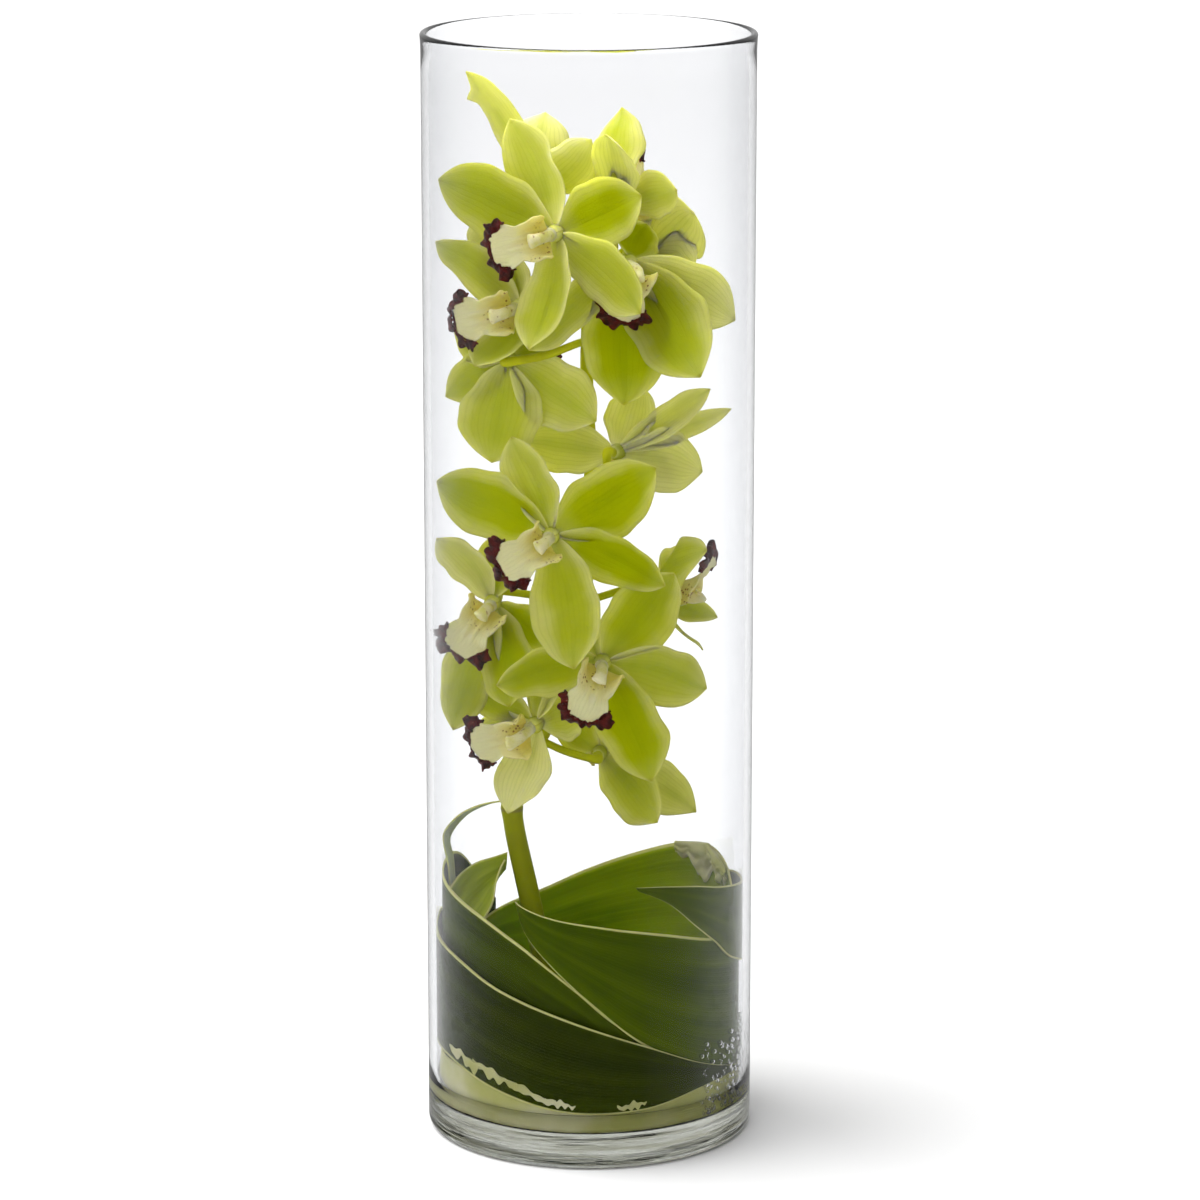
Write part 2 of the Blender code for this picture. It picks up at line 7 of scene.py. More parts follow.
import bmesh
import bpy
import numpy as np
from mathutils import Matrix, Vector


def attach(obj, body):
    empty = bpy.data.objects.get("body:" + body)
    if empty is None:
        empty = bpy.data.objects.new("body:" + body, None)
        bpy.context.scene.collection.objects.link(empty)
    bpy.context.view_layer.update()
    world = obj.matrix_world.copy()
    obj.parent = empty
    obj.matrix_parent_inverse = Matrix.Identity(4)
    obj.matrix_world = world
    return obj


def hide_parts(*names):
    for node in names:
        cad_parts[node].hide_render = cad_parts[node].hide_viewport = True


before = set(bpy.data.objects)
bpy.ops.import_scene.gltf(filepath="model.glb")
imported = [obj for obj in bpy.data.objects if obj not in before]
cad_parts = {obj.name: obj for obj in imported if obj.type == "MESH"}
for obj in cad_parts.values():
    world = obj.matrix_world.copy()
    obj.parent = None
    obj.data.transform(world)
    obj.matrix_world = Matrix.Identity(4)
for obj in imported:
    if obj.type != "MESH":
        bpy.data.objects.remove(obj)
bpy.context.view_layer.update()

MM = 0.001

VASE_HEIGHT = 508.0
VASE_RADIUS = 75.0
VASE_WALL = 3.5
VASE_FLOOR = 16.0
INNER_RADIUS = VASE_RADIUS - VASE_WALL
INNER_FILLET = 2.5
CORNER_STEPS = 9
WATER_TOP = 24.0
BUBBLE_COUNT = 420

STEM_FOOT_RADIUS = 5.2
STEM_TIP_RADIUS = 2.4
PEDICEL_RADIUS = 1.8
STEM_JOINT = 146.0
SIDE_STALK_STEPS = 24

BLADE_THICKNESS = 0.8
TEPAL_GRID = (34, 14)
TEPAL_ROOT = 0.18
TEPAL_WIDEST = 0.52
FORK_DEPTH = 0.75
HUB_RADIUS = 4.0
HUB_BACK_RADIUS = 2.8
HUB_FRONT = 1.8
HUB_BACK = -7.0

LIP_THICKNESS = 0.9
LIP_GRID = (46, 30)
LIP_LENGTH = 36.0
LIP_LINE = [(-1.0, 3.4), (-3.5, 9.0), (-5.5, 15.0), (-10.0, 21.0), (-16.5, 24.0), (-23.5, 22.5)]
LIP_STEPS = 400
LIP_WAIST = 7.6
LOBE_START = 0.6
LOBE_LENGTH = 0.25
LOBE_HALF_WIDTH = 10.3
MARGIN_WIDTH = 3.6
MARGIN_THICKNESS = 0.75
MARGIN_GRID = (120, 8)
COLUMN_LINE = [(2.4, 0), (6, 1.4), (10.5, 2.9), (15, 3.5), (18.4, 2.4), (19.6, 1.2)]
COLUMN_STEPS = 22

LEAF_THICKNESS = 0.8
LEAF_GRID = (130, 22)
LEAF_STEPS = 400
LEAF_WAVE = 0.09
OUTER_LAYER = 70.6
MIDDLE_LAYER = 69.1
INNER_LAYER = 67.7
BACK_LAYER = 66.2
SCRAP_LAYER = 71.32
SCRAP_GRID = (60, 8)
FOLD_GRID = (44, 16)
BASE_LAYER = 69.7
BASE_FOOT = 16.8
BASE_GRID = (360, 12)

CAMERA_PLACE = (0.0, -2.1539, 0.74834)
CAMERA_DOWN = 13.073
CAMERA_TURN = 0.133
CAMERA_LENS = 145.197

SKY_LIGHT = 0.66
FRONT_SKY = 0.8
KEY_LIGHT = 3.9
KEY_DIRECTION = (0.47, -0.02, -0.96)
KEY_SOFTNESS = 42
ROOM_LIGHT = 0.03
PANEL_LIGHT = 1.2
BACK_LIGHT = 0.35

FINE_RELIEF = 0.0004
PETAL_GREEN = (0.372, 0.416, 0.0006)
PETAL_PALE = (0.87, 0.86, 0.3)
PETAL_VEIN = (0.27, 0.33, 0.001)
PETAL_HEART = (0.23, 0.3, 0.0005)
PETAL_TIP = (0.33, 0.28, 0.03)
CREAM = (0.98, 0.87, 0.46)
THROAT_YELLOW = (0.8, 0.67, 0.1)
LEAF_EDGE_HIGHLIGHT = (0.84, 0.83, 0.32)
TORN_AND_LIT_PALE = (0.88, 0.86, 0.52)
TORN_GREEN = (0.58, 0.59, 0.18)
FOOT_BAND_SHADE = (0.33, 0.32, 0.22)
DEEP_GLASS = (0.8, 0.81, 0.8)
GLASS_DEPTH = 20.0

STEM_PATH = [(-9, 2, 17.6), (-27, 8, 101), (-36, 14, 146), (-31, 18, 165), (-21, 20, 183),
             (-11, 20, 202), (-4, 19, 235), (-1, 17, 263), (1, 15, 302), (-1, 14, 343),
             (0, 13, 386), (3, 12, 413), (4, 10, 436)]


def tepal(turn, length, lean, width, bow=5.0, cup=0.2, twist=0.0):
    """One petal or sepal.

    turn goes round the bloom from its right side, lean is how far it points out of the bloom's
    plane, bow sags its middle backwards, cup raises its edges and twist turns its tip.
    """
    return dict(turn=turn, length=length, lean=lean, width=width, bow=bow, cup=cup, twist=twist)


def bloom(centre, faces, roll, route=None, petal_layer=0.0, **tepals):
    """One bloom: its place, the azimuth and elevation it faces, its roll and its side stalk's route.

    Each tepal has the numbers that tepal() takes. By turns they lie petal_layer in front of the
    middle and as far behind it.
    """
    return dict(centre=np.array(centre, float), faces=faces, roll=roll, route=route, petal_layer=petal_layer,
                tepals={place: tepal(*sizes) for place, sizes in tepals.items()})


BLOOMS = {
    "bloom_a": bloom((-15, -24, 421), (-40, -5), -75,
        left=(158, 61, 15, 36, 6, 0.25),
        up=(117, 55, -2, 32, 6),
        down=(-84, 54, 31, 29, 5, 0.25),
        right_up=(28, 42, -46, 31, 4),
        right_down=(-40, 53, -10, 32, 3)),
    "bloom_b": bloom((-24, 14, 435), (165, 30), 0,
        left=(62, 62, 14, 20, -6, 0.25, 14),
        mid=(95, 35, 44, 30, 6),
        right=(145, 34, 27, 24, 8),
        low_left=(-45, 51, -1, 24),
        low_right=(-93, 52, 8, 24)),
    "bloom_c": bloom((15, 4, 429), (135, 15), 120,
        front=(100, 39, -10, 26, -4, -0.2),
        up=(82, 44, 26, 30, 6, 0.25),
        right=(166, 28, 26, 22, -4),
        back=(10, 45, 34, 20),
        low=(-40, 46, 17, 22)),
    "bloom_n": bloom((24, 20, 404), (155, 5), 60,
        up=(141, 36, -4, 34, -5),
        low=(-163, 29, -11, 34, -5),
        down=(-117, 32, -1, 28),
        back_up=(70, 30, 37, 22),
        back_low=(-52, 47, 7, 24)),
    "bloom_d": bloom((-31, -14, 386), (-45, -6), -80,
        left=(141, 49, 19, 26),
        up=(120, 32, 8, 28, 6, 0.25),
        low=(-106, 33, 50, 24, 6, 0.25),
        right=(67, 25, -44, 16, 4),
        right_low=(-70, 21, -21, 16, 4)),
    "bloom_e": bloom((18, -2, 404), (8, -18), -28, petal_layer=1.0,
        right=(-25, 54, 17, 32, 6),
        right_low=(-54, 61, 38, 38, 8, 0.3),
        low=(-94, 63, 30, 40, 8, 0.3),
        left=(-151, 63, 30, 22, 2),
        up=(61, 20, -24, 22)),
    "bloom_f": bloom((-36, -6, 361), (178, -6), -105,
        down=(-81, 47, -2, 38, -5, -0.2),
        right=(-145, 48, 0, 32, -4, -0.2),
        left=(-31, 35, 15, 22, -4, -0.2),
        up_left=(26, 30, 23, 20, -4, -0.2),
        up_right=(156, 29, 39, 18, -3, -0.1),
        route=[(0, 13, 366), (-4, -2, 368), (-20, -13, 364)]),
    "bloom_g": bloom((13, 2, 317), (158, -8), -36,
        left=(4, 44, -23, 26, -4, -0.2),
        strap=(141, 51, 15, 15, -8, -0.2),
        thin=(154, 57, 28, 11, -6, -0.2),
        low=(-167, 41, 32, 30, -5, -0.2),
        up=(97, 34, 26, 24, -5, -0.2),
        route=[(0, 15, 292), (4, 3, 299), (8, -6, 309)]),
    "bloom_h": bloom((-17, -26, 284), (-22, -8), -58,
        left=(161, 61, -5, 34, 5, 0.25),
        up=(115, 48, -8, 25, 5, 0.25),
        right_up=(33, 56, -23, 33),
        right_low=(-22, 56, -5, 25, 4),
        down=(-72, 61, 23, 36, 5, 0.3)),
    "bloom_i": bloom((-44, -4, 248), (-18, -12), -34,
        left=(124, 40, 7, 22, 6, 0.3),
        up=(93, 34, -37, 26),
        right=(-38, 32, 0, 22, 4),
        low=(-78, 48, 21, 28, 6, 0.25),
        low_left=(-109, 66, 10, 26, 3)),
    "bloom_j": bloom((6, -24, 225), (-8, -18), -27,
        right_up=(51, 53, -15, 32, 6, 0.25),
        right=(-22, 50, -8, 34, 6, 0.25),
        low=(-66, 59, 19, 32),
        left=(-177, 49, 22, 27, 5, 0.25),
        up=(146, 32, -36, 18, 4)),
    "bloom_k": bloom((-25, -10, 192), (-45, -15), -85,
        down=(-90, 42, 39, 30, 4),
        front=(21, 23, -36, 26),
        left=(162, 42, 7, 24),
        up=(95, 32, -31, 24),
        back=(-159, 48, 5, 20)),
    "bloom_l": bloom((5, 14, 173), (172, 0), 150,
        left=(-135, 43, -19, 27, -5, -0.2),
        right=(-145, 55, 15, 25, -4, -0.2),
        up=(131, 32, 24, 22, 4),
        back=(45, 29, 19, 22, 4),
        far=(-141, 34, 56, 22, 4),
        route=[(-24, 19, 178), (-10, 10, 174)]),
    "bloom_m": bloom((33, 8, 252), (75, 0), 170,
        front=(130, 40, 40, 28, 6, 0.25),
        low=(-43, 33, 47, 14, 6, 0.3),
        thin=(-95, 34, 40, 6, 4),
        back=(7, 39, 6, 24),
        back_low=(-51, 47, -12, 24)),
}

FORKED_PETALS = ("bloom_b_left",)
# How pale a bloom is, and the petals of it that differ. The high tones of blooms c and n, at the right, are
# partly a painted reflection: they whiten those petals the way the softbox's reflection in the glass does.
PALE_PETALS = {
    "a": 0.12, "a_up": 0.35, "a_right_down": 0.3, "a_down": 0.24, "b": 0.6, "b_left": 0.8,
    "b_mid": 0.72, "c": 0.5, "c_front": 0.8, "c_up": 0.22, "n": 0.55, "n_up": 0.8, "n_low": 0.8,
    "d": 0.22, "d_up": 0.35, "e": 0.08, "e_right": 0.62, "e_left": 0.25, "f": 0.2, "f_right": 0.4,
    "g": 0.62, "g_low": 0.7, "h": 0.1, "h_up": 0.32, "i": 0.15, "i_left": 0.45, "j": 0.1,
    "j_right": 0.42, "j_up": 0.4, "k": 0.35, "k_down": 0.92, "k_left": 0.1, "l": 0.3, "l_left": 0.22,
    "l_right": 0.82, "m": 0.25, "m_thin": 0.6,
}


def on_layer(radius, *points):
    """Points at one distance from the vase's axis, each an angle from the front and a height."""
    return [(angle, radius, height) for angle, height in points]


LEAVES = {
    "leaf_low": {
        "top": on_layer(OUTER_LAYER, (-120, 78), (-100, 99), (-61, 92), (-35, 81), (-8, 70), (20, 57),
            (46, 43), (71, 34), (92, 31)),
        "bottom": on_layer(OUTER_LAYER, (-120, 72), (-100, 50), (-61, 41), (-35, 32.5), (-8, 26),
            (20, 26.5), (46, 32), (71, 32.5), (92, 30))},
    "leaf_mid": {
        "top": on_layer(INNER_LAYER, (-138, 92), (-112, 122), (-77, 121), (-49, 114), (-31, 105),
            (-19, 96), (-5, 83), (10, 67), (30, 52)),
        "bottom": on_layer(INNER_LAYER, (-138, 86), (-112, 60), (-77, 50), (-49, 46), (-31, 43),
            (-19, 41), (-5, 40), (10, 40), (30, 42))},
    "leaf_wide": {
        "top": [(-37, 55, 118), (-26, 62, 117.5), (-12, 68, 116), (6, 68.9, 113),
                *on_layer(MIDDLE_LAYER, (28, 108), (50, 101), (73, 95), (98, 84), (120, 64))],
        "bottom": [(-35, 56, 116), (-25, 65, 106), (-15, 68.2, 95), *on_layer(MIDDLE_LAYER, (0, 78),
                   (20, 57), (45, 41), (71, 33), (98, 36), (120, 57))]},
    "leaf_right": {
        "top": on_layer(OUTER_LAYER, (17, 131.5), (28, 130.5), (42, 128), (56, 124), (75, 120),
            (100, 116), (120, 110), (138, 100)),
        "bottom": on_layer(OUTER_LAYER, (18, 130), (30, 122), (42, 109), (52, 99), (65, 87), (92, 78),
            (120, 82), (138, 95))},
    "leaf_back": {
        "top": on_layer(BACK_LAYER, (84, 108), (100, 118), (120, 123), (140, 119), (160, 111), (180, 102),
            (200, 93), (225, 86), (248, 76)),
        "bottom": on_layer(BACK_LAYER, (80, 76), (100, 43), (120, 36), (140, 34), (160, 33), (180, 33),
            (200, 36), (225, 48), (248, 69))},
    "leaf_loop": {
        "top": [(-86, 64.4, 112), (-87, 65.4, 124), (-88, 67.4, 134), (-88, 66.5, 140),
                (-89, 60.0, 147), (-91, 51.0, 151), (-96, 41.0, 152), (-103, 33.5, 151)],
        "bottom": [(-98, 63.6, 112), (-98, 64.6, 124), (-98, 66.0, 132), (-98, 63.5, 138),
                   (-99, 57.0, 145), (-101, 49.0, 149), (-104, 42.0, 150.5), (-106, 34.5, 150)]},
    "leaf_curl": {
        "top": [(-78, 66.3, 114), (-86, 62.6, 116), (-94, 59.0, 118.5), (-101, 54.0, 121),
                (-108, 47.0, 122.5), (-114, 42.0, 124)],
        "bottom": [(-68, 62.0, 97), (-69, 55.0, 99), (-72, 49.0, 104), (-80, 45.0, 108),
                   (-91, 43.0, 115), (-106, 41.0, 122)],
        "sag": 6.0},
}

# Torn and folded parts of leaves: the angles they run between, their heights, widths and how pale they are;
# the folds' paleness is partly a painted highlight where light shines through them.
LEAF_FOLDS = [(99, 141, 15.0, 0.8), (97, 119, 10.0, 1.0)]
LEAF_SCRAPS = [(-61, -41, 46.0, 41.5, 4.6), (-47, -27, 43.5, 36.5, 4.0), (-33, -12, 38.5, 30.0, 3.4),
               (-16, -5, 31.0, 28.4, 2.6), (10, 21, 28.0, 29.2, 3.0)]


def unit(vector):
    vector = np.asarray(vector, float)
    return vector / np.linalg.norm(vector)


def ramp(value, low, high):
    """A share that grows evenly from 0 at low to 1 at high."""
    return np.clip((value - low) / (high - low), 0, 1)


def hump(value, middle, width):
    """A soft hump of height 1."""
    return np.exp(-((value - middle) / width) ** 2)


def smooth_path(points, count):
    """Evenly numbered points on a Catmull-Rom curve through the given ones."""
    points = np.asarray(points, float)
    ends = np.vstack([2 * points[0] - points[1], points, 2 * points[-1] - points[-2]])
    place = np.linspace(0, len(points) - 1, count)
    i = np.minimum(place.astype(int), len(points) - 2)
    t = (place - i)[:, None]
    p0, p1, p2, p3 = ends[i], ends[i + 1], ends[i + 2], ends[i + 3]
    return 0.5 * (2 * p1 + (p2 - p0) * t + (2 * p0 - 5 * p1 + 4 * p2 - p3) * t * t
                  + (3 * p1 - p0 - 3 * p2 + p3) * t ** 3)


def facing(azimuth, elevation):
    """The way a bloom looks: azimuth 0 is the front and 90 the right."""
    turn, lift = math.radians(azimuth), math.radians(elevation)
    return np.array([math.sin(turn) * math.cos(lift), -math.cos(turn) * math.cos(lift), math.sin(lift)])


def level_frame(bloom):
    """The bloom's right, up and outward directions before it rolls."""
    out = facing(*bloom["faces"])
    right = unit(np.cross((0, 0, 1), out))
    return right, np.cross(out, right), out


def lip_frame(bloom):
    """The right, up and outward directions of the bloom's lip, which points down before it rolls."""
    right, up, out = level_frame(bloom)
    roll = math.radians(bloom["roll"])
    across = right * math.cos(roll) + up * math.sin(roll)
    return across, up * math.cos(roll) - right * math.sin(roll), out


def select_only(*pieces):
    for thing in list(bpy.context.selected_objects):
        thing.select_set(False)
    for piece in pieces:
        piece.select_set(True)
    bpy.context.view_layer.objects.active = pieces[0] if pieces else None


def put_in_scene(name, data):
    thing = bpy.data.objects.new(name, data)
    bpy.context.scene.collection.objects.link(thing)
    return thing


def read_points(piece):
    flat = np.zeros(len(piece.data.vertices) * 3)
    piece.data.vertices.foreach_get("co", flat)
    return flat.reshape(-1, 3)


def lay_blade(name, along, across, place):
    """A flat grid laid where place(t, u) says: t runs from root to tip and u from -1 to 1 across."""
    select_only()
    bpy.ops.mesh.primitive_grid_add(x_subdivisions=across, y_subdivisions=along, size=2, calc_uvs=True)
    piece = bpy.context.object
    piece.name = name
    flat = read_points(piece)
    points = place((flat[:, 1] + 1) / 2, np.clip(flat[:, 0], -1, 1)) * MM
    piece.data.vertices.foreach_set("co", points.ravel())
    piece.data.update()
    return piece


def thicken(piece, thickness, thin_edge=None):
    """Gives a blade its two faces, thinner towards its edge where thin_edge gives a share for each point."""
    wall = piece.modifiers.new("wall", "SOLIDIFY")
    wall.thickness = thickness * MM
    wall.offset = 0.0
    if thin_edge is not None:
        group = piece.vertex_groups.new(name="thickness")
        for index, share in enumerate(thin_edge):
            group.add([index], float(share), "REPLACE")
        wall.vertex_group = group.name
        wall.thickness_vertex_group = 0.18
    select_only(piece)
    bpy.ops.object.modifier_apply(modifier=wall.name)
    piece.vertex_groups.clear()
    bpy.ops.object.shade_smooth()


def mark(piece, name, value):
    """Stores one number all over a piece, for its material to read."""
    attribute = piece.data.attributes.new(name, "FLOAT", "POINT")
    attribute.data.foreach_set("value", np.full(len(piece.data.vertices), value, np.float32))


def join(name, pieces):
    select_only(*pieces)
    bpy.ops.object.join()
    whole = bpy.context.object
    whole.name = name
    whole.data.name = name
    return whole


def close_shell(piece, reach):
    """Merges a round piece's doubled points, turns its faces outwards and smooths it."""
    bpy.ops.object.mode_set(mode="EDIT")
    bpy.ops.mesh.select_all(action="SELECT")
    bpy.ops.mesh.remove_doubles(threshold=reach)
    bpy.ops.mesh.normals_make_consistent(inside=False)
    if bmesh.from_edit_mesh(piece.data).calc_volume(signed=True) < 0:
        bpy.ops.mesh.flip_normals()
    bpy.ops.object.mode_set(mode="OBJECT")
    bpy.ops.object.shade_smooth()
    return piece


def stalk(name, path, radii, sides):
    """A round stalk along a path, drawn as a bevelled curve and turned into a mesh."""
    curve = bpy.data.curves.new(name, "CURVE")
    curve.dimensions = "3D"
    curve.bevel_depth = 1.0
    curve.bevel_resolution = (sides - 4) // 4
    curve.use_fill_caps = True
    line = curve.splines.new("POLY")
    line.points.add(len(path) - 1)
    for point, place, radius in zip(line.points, path, radii):
        point.co = (*(np.asarray(place) * MM), 1.0)
        point.radius = radius * MM
    select_only(put_in_scene(name, curve))
    bpy.ops.object.convert(target="MESH")
    return close_shell(bpy.context.object, 0.00001)


def finish_piece(piece, node=None, finish=None):
    """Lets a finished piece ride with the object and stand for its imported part."""
    if finish:
        piece.data.materials.append(finish)
    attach(piece, "root")
    if node:
        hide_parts(node)


class Wire:
    """A node's output. Adding to it, multiplying it and so on put a Math node behind it."""

    def __init__(self, tree, socket):
        self.tree, self.socket = tree, socket

    def math(self, operation, *terms):
        made = self.tree.nodes.new("ShaderNodeMath")
        made.operation = operation
        for place, term in zip(made.inputs, (self, *terms)):
            fill(place, term)
        return Wire(self.tree, made.outputs[0])

    def __add__(self, term):
        return self.math("ADD", term)

    def __sub__(self, term):
        return self.math("SUBTRACT", term)

    def __mul__(self, term):
        return self.math("MULTIPLY", term)

    def __abs__(self):
        return self.math("ABSOLUTE")


def fill(place, value):
    """Sets a socket to a number or a colour, or links a wire to it."""
    if isinstance(value, Wire):
        value.tree.links.new(value.socket, place)
    elif place.type == "RGBA":
        place.default_value = (*value, 1.0)
    else:
        place.default_value = value


def fill_all(node, **values):
    """Fills a node's sockets by their names, which have _ for a space."""
    for title, value in values.items():
        fill(node.inputs[title.replace("_", " ")], value)
    return node


def add_node(tree, kind, **values):
    return fill_all(tree.nodes.new("ShaderNode" + kind), **values)


def wires(node):
    return {socket.name: Wire(node.id_data, socket) for socket in node.outputs}


def spread(value, low, high, to_low=0.0, to_high=1.0):
    """A smooth change of value between two limits."""
    made = add_node(value.tree, "MapRange", Value=value, From_Min=low, From_Max=high,
                    To_Min=to_low, To_Max=to_high)
    made.interpolation_type = "SMOOTHSTEP"
    return Wire(value.tree, made.outputs["Result"])


def blend(share, first, second):
    """A colour mixed from two, each a colour or a wire."""
    made = add_node(share.tree, "Mix", Factor=share)
    made.data_type = "RGBA"
    for place, colour in zip([item for item in made.inputs if item.type == "RGBA"], (first, second)):
        fill(place, colour)
    return Wire(share.tree, [item for item in made.outputs if item.type == "RGBA"][0])


def noise(vector, scale, detail=3.0, roughness=0.5):
    made = add_node(vector.tree, "TexNoise", Vector=vector, Scale=scale, Detail=detail, Roughness=roughness)
    return Wire(vector.tree, made.outputs["Fac"])


def stretch(vector, scale):
    """Coordinates for a pattern that is drawn out along one axis."""
    return Wire(vector.tree, add_node(vector.tree, "Mapping", Vector=vector, Scale=scale).outputs[0])


def split(vector):
    """The three parts of a vector."""
    return wires(add_node(vector.tree, "SeparateXYZ", Vector=vector))


def socket_group(name, inputs, outputs):
    """An empty shader node group with named sockets: the group, its inputs and its output node."""
    group = bpy.data.node_groups.new(name, "ShaderNodeTree")
    for title, value in inputs.items():
        kind = "NodeSocketVector" if isinstance(value, tuple) else "NodeSocketFloat"
        made = group.interface.new_socket(name=title, in_out="INPUT", socket_type=kind)
        made.default_value = value
    for title in outputs:
        group.interface.new_socket(name=title, in_out="OUTPUT", socket_type="NodeSocketFloat")
    return group, wires(group.nodes.new("NodeGroupInput")), group.nodes.new("NodeGroupOutput")


def make_vein_group():
    """Fine lines that run along a blade, wandering a little, from its UV map."""
    group, inlet, outlet = socket_group("Blade veins", {"UV": (0.0, 0.0, 0.0), "Count": 12.0, "Wander": 0.02},
                                        ("Lines", "Across", "Along"))
    parts = split(inlet["UV"])
    across, along = parts["X"], parts["Y"]
    drift = (noise(inlet["UV"], 4.0, 2.0) - 0.5) * inlet["Wander"]
    wave = ((across + drift) * inlet["Count"]).math("PINGPONG", 0.5)
    fill_all(outlet, Lines=spread(wave, 0.0, 0.22, 1.0, 0.0), Across=across, Along=along)
    return group


def make_mottle_group():
    """Soft blotches and a fine grain, from the piece's own coordinates."""
    group, inlet, outlet = socket_group(
        "Plant mottling", {"Place": (0.0, 0.0, 0.0), "Blotch Scale": 60.0, "Grain Scale": 900.0},
        ("Blotches", "Grain"))
    fill_all(outlet, Blotches=noise(inlet["Place"], inlet["Blotch Scale"], 3.0),
             Grain=noise(inlet["Place"], inlet["Grain Scale"], 2.0))
    return group


class Finish:
    """A material in the making, with its Principled shader and its coordinates."""

    def __init__(self, name, roughness):
        self.material = bpy.data.materials.new(name)
        self.material.use_nodes = True
        self.tree = self.material.node_tree
        self.shader = self.tree.nodes["Principled BSDF"]
        self.places = wires(add_node(self.tree, "TexCoord"))
        self.set(Roughness=roughness)

    def set(self, **values):
        fill_all(self.shader, **values)

    def group(self, group, **values):
        made = add_node(self.tree, "Group")
        made.node_tree = group
        return wires(fill_all(made, **values))

    def veins(self, count, wander):
        return self.group(vein_group, UV=self.places["UV"], Count=count, Wander=wander)

    def mottle(self, blotches, grain):
        return self.group(mottle_group, Place=self.places["Object"], Blotch_Scale=blotches, Grain_Scale=grain)

    def attribute(self, name):
        made = add_node(self.tree, "Attribute")
        made.attribute_name = name
        return Wire(self.tree, made.outputs["Fac"])

    def tissue(self, weight, radius, scale, gloss):
        """Plant tissue: how much light goes into it, how far each colour of it gets, and how it shines."""
        self.set(Subsurface_Weight=weight, Subsurface_Radius=radius, Subsurface_Scale=scale,
                 Specular_IOR_Level=gloss)

    def close(self, colour, height, strength, distance=FINE_RELIEF):
        bump = add_node(self.tree, "Bump", Strength=strength, Distance=distance, Height=height)
        self.set(Base_Color=colour, Normal=Wire(self.tree, bump.outputs["Normal"]))
        return self.material


def off_middle(veins):
    """How far across the blade a point lies: 0 at its middle line and 1 at its edges."""
    return abs(veins["Across"] - 0.5) * 2.0


def tepal_finish():
    """Yellow-green petal tissue: deep in its middle, pale at its edge and root, with fine veins."""
    petal = Finish("yellow_green_petal", 0.5)
    veins, mottle = petal.veins(13.0, 0.05), petal.mottle(38.0, 1400.0)
    along, blotches, away = veins["Along"], mottle["Blotches"], off_middle(veins)
    edge = spread(away + (blotches - 0.5) * 0.9, 0.42, 1.05)
    # The tone pales whole petals; on blooms c and n it is partly a painted reflection of the softbox in the
    # glass.
    pale = edge * 0.55 + (petal.attribute("tone") * 1.15 - 0.12)
    root, end = spread(along, 0.0, 0.3, 0.3, 0.0), spread(along, 0.72, 1.0, 0.0, 0.22)
    share = (pale + root + end).math("MAXIMUM", 0.0).math("MINIMUM", 1.0)
    colour = blend(share, PETAL_GREEN, PETAL_PALE)
    colour = blend(veins["Lines"] * 0.16, colour, PETAL_VEIN)
    heart = spread(away, 0.45, 0.0) * spread(blotches, 0.6, 0.4, 0.0, 0.35)
    colour = blend(heart, colour, PETAL_HEART)
    colour = blend(spread(along, 0.95, 1.0, 0.0, 0.5), colour, PETAL_TIP)
    petal.tissue(0.8, (0.93, 1.0, 0.025), 0.0045, 0.0)
    return petal.close(colour, veins["Lines"] * -0.6 + mottle["Grain"], 0.3)


def lip_finish():
    """Cream lip tissue with a yellow throat, brown-red freckles and dark stains near its edge."""
    lip = Finish("cream_lip", 0.45)
    veins, mottle = lip.veins(11.0, 0.05), lip.mottle(130.0, 1800.0)
    along, blotches = veins["Along"], mottle["Blotches"]
    colour = blend(spread(along, 0.15, 0.7, 0.75, 0.0), CREAM, THROAT_YELLOW)
    colour = blend(veins["Lines"] * 0.1, colour, (0.62, 0.48, 0.18))
    freckles = add_node(lip.tree, "TexVoronoi", Vector=lip.places["Object"], Scale=520.0)
    dots = spread(wires(freckles)["Distance"], 0.22, 0.34, 1.0, 0.0)
    where = spread(blotches, 0.5, 0.6) * spread(along, 0.62, 0.4)
    colour = blend(dots * (where * 0.8), colour, (0.22, 0.055, 0.03))
    near_end = spread(along, 0.62, 0.8) * spread(off_middle(veins), 0.55, 1.0)
    reach = near_end.math("MAXIMUM", spread(along, 0.86, 1.0))
    stain = spread(reach + (blotches - 0.5) * 1.6, 0.55, 0.75)
    colour = blend(stain, colour, (0.075, 0.006, 0.005))
    lip.tissue(0.6, (1.0, 0.8, 0.15), 0.004, 0.06)
    return lip.close(colour, veins["Lines"] + mottle["Grain"], 0.3)


def column_finish():
    """The cream column: yellow-green at its root, freckled below its pale cap."""
    column = Finish("cream_column", 0.4)
    mottle = column.mottle(160.0, 1800.0)
    colour = blend(spread(mottle["Blotches"], 0.35, 0.7), (0.96, 0.89, 0.54), (0.78, 0.74, 0.22))
    fine = noise(column.places["Object"], 420.0, 1.0)
    colour = blend(spread(fine, 0.66, 0.72, 0.0, 0.6), colour, (0.3, 0.1, 0.04))
    column.tissue(0.5, (1.0, 0.8, 0.4), 0.004, 0.15)
    return column.close(colour, mottle["Grain"], 0.25, 0.0003)


def margin_finish():
    """Velvety dark burgundy with blotches of a redder tone laid at random, partly painted light that stands
    in for light glowing through thin tissue, and a few pale flecks.
    """
    margin = Finish("burgundy_margin", 0.42)
    mottle, veins = margin.mottle(300.0, 2200.0), margin.veins(60.0, 0.02)
    blotches = mottle["Blotches"]
    # Painted light: the redder blotches stand in for red highlights and light glowing through the thin
    # margin; the dark burgundy is its own colour.
    colour = blend(spread(blotches, 0.35, 0.7), (0.03, 0.002, 0.002), (0.125, 0.008, 0.006))
    fleck = spread(blotches, 0.7, 0.74) * spread(veins["Along"], 0.5, 0.0)
    colour = blend(fleck, colour, (0.62, 0.42, 0.28))
    margin.tissue(0.15, (1.0, 0.2, 0.2), 0.002, 0.15)
    return margin.close(colour, veins["Lines"] + mottle["Grain"], 0.4)


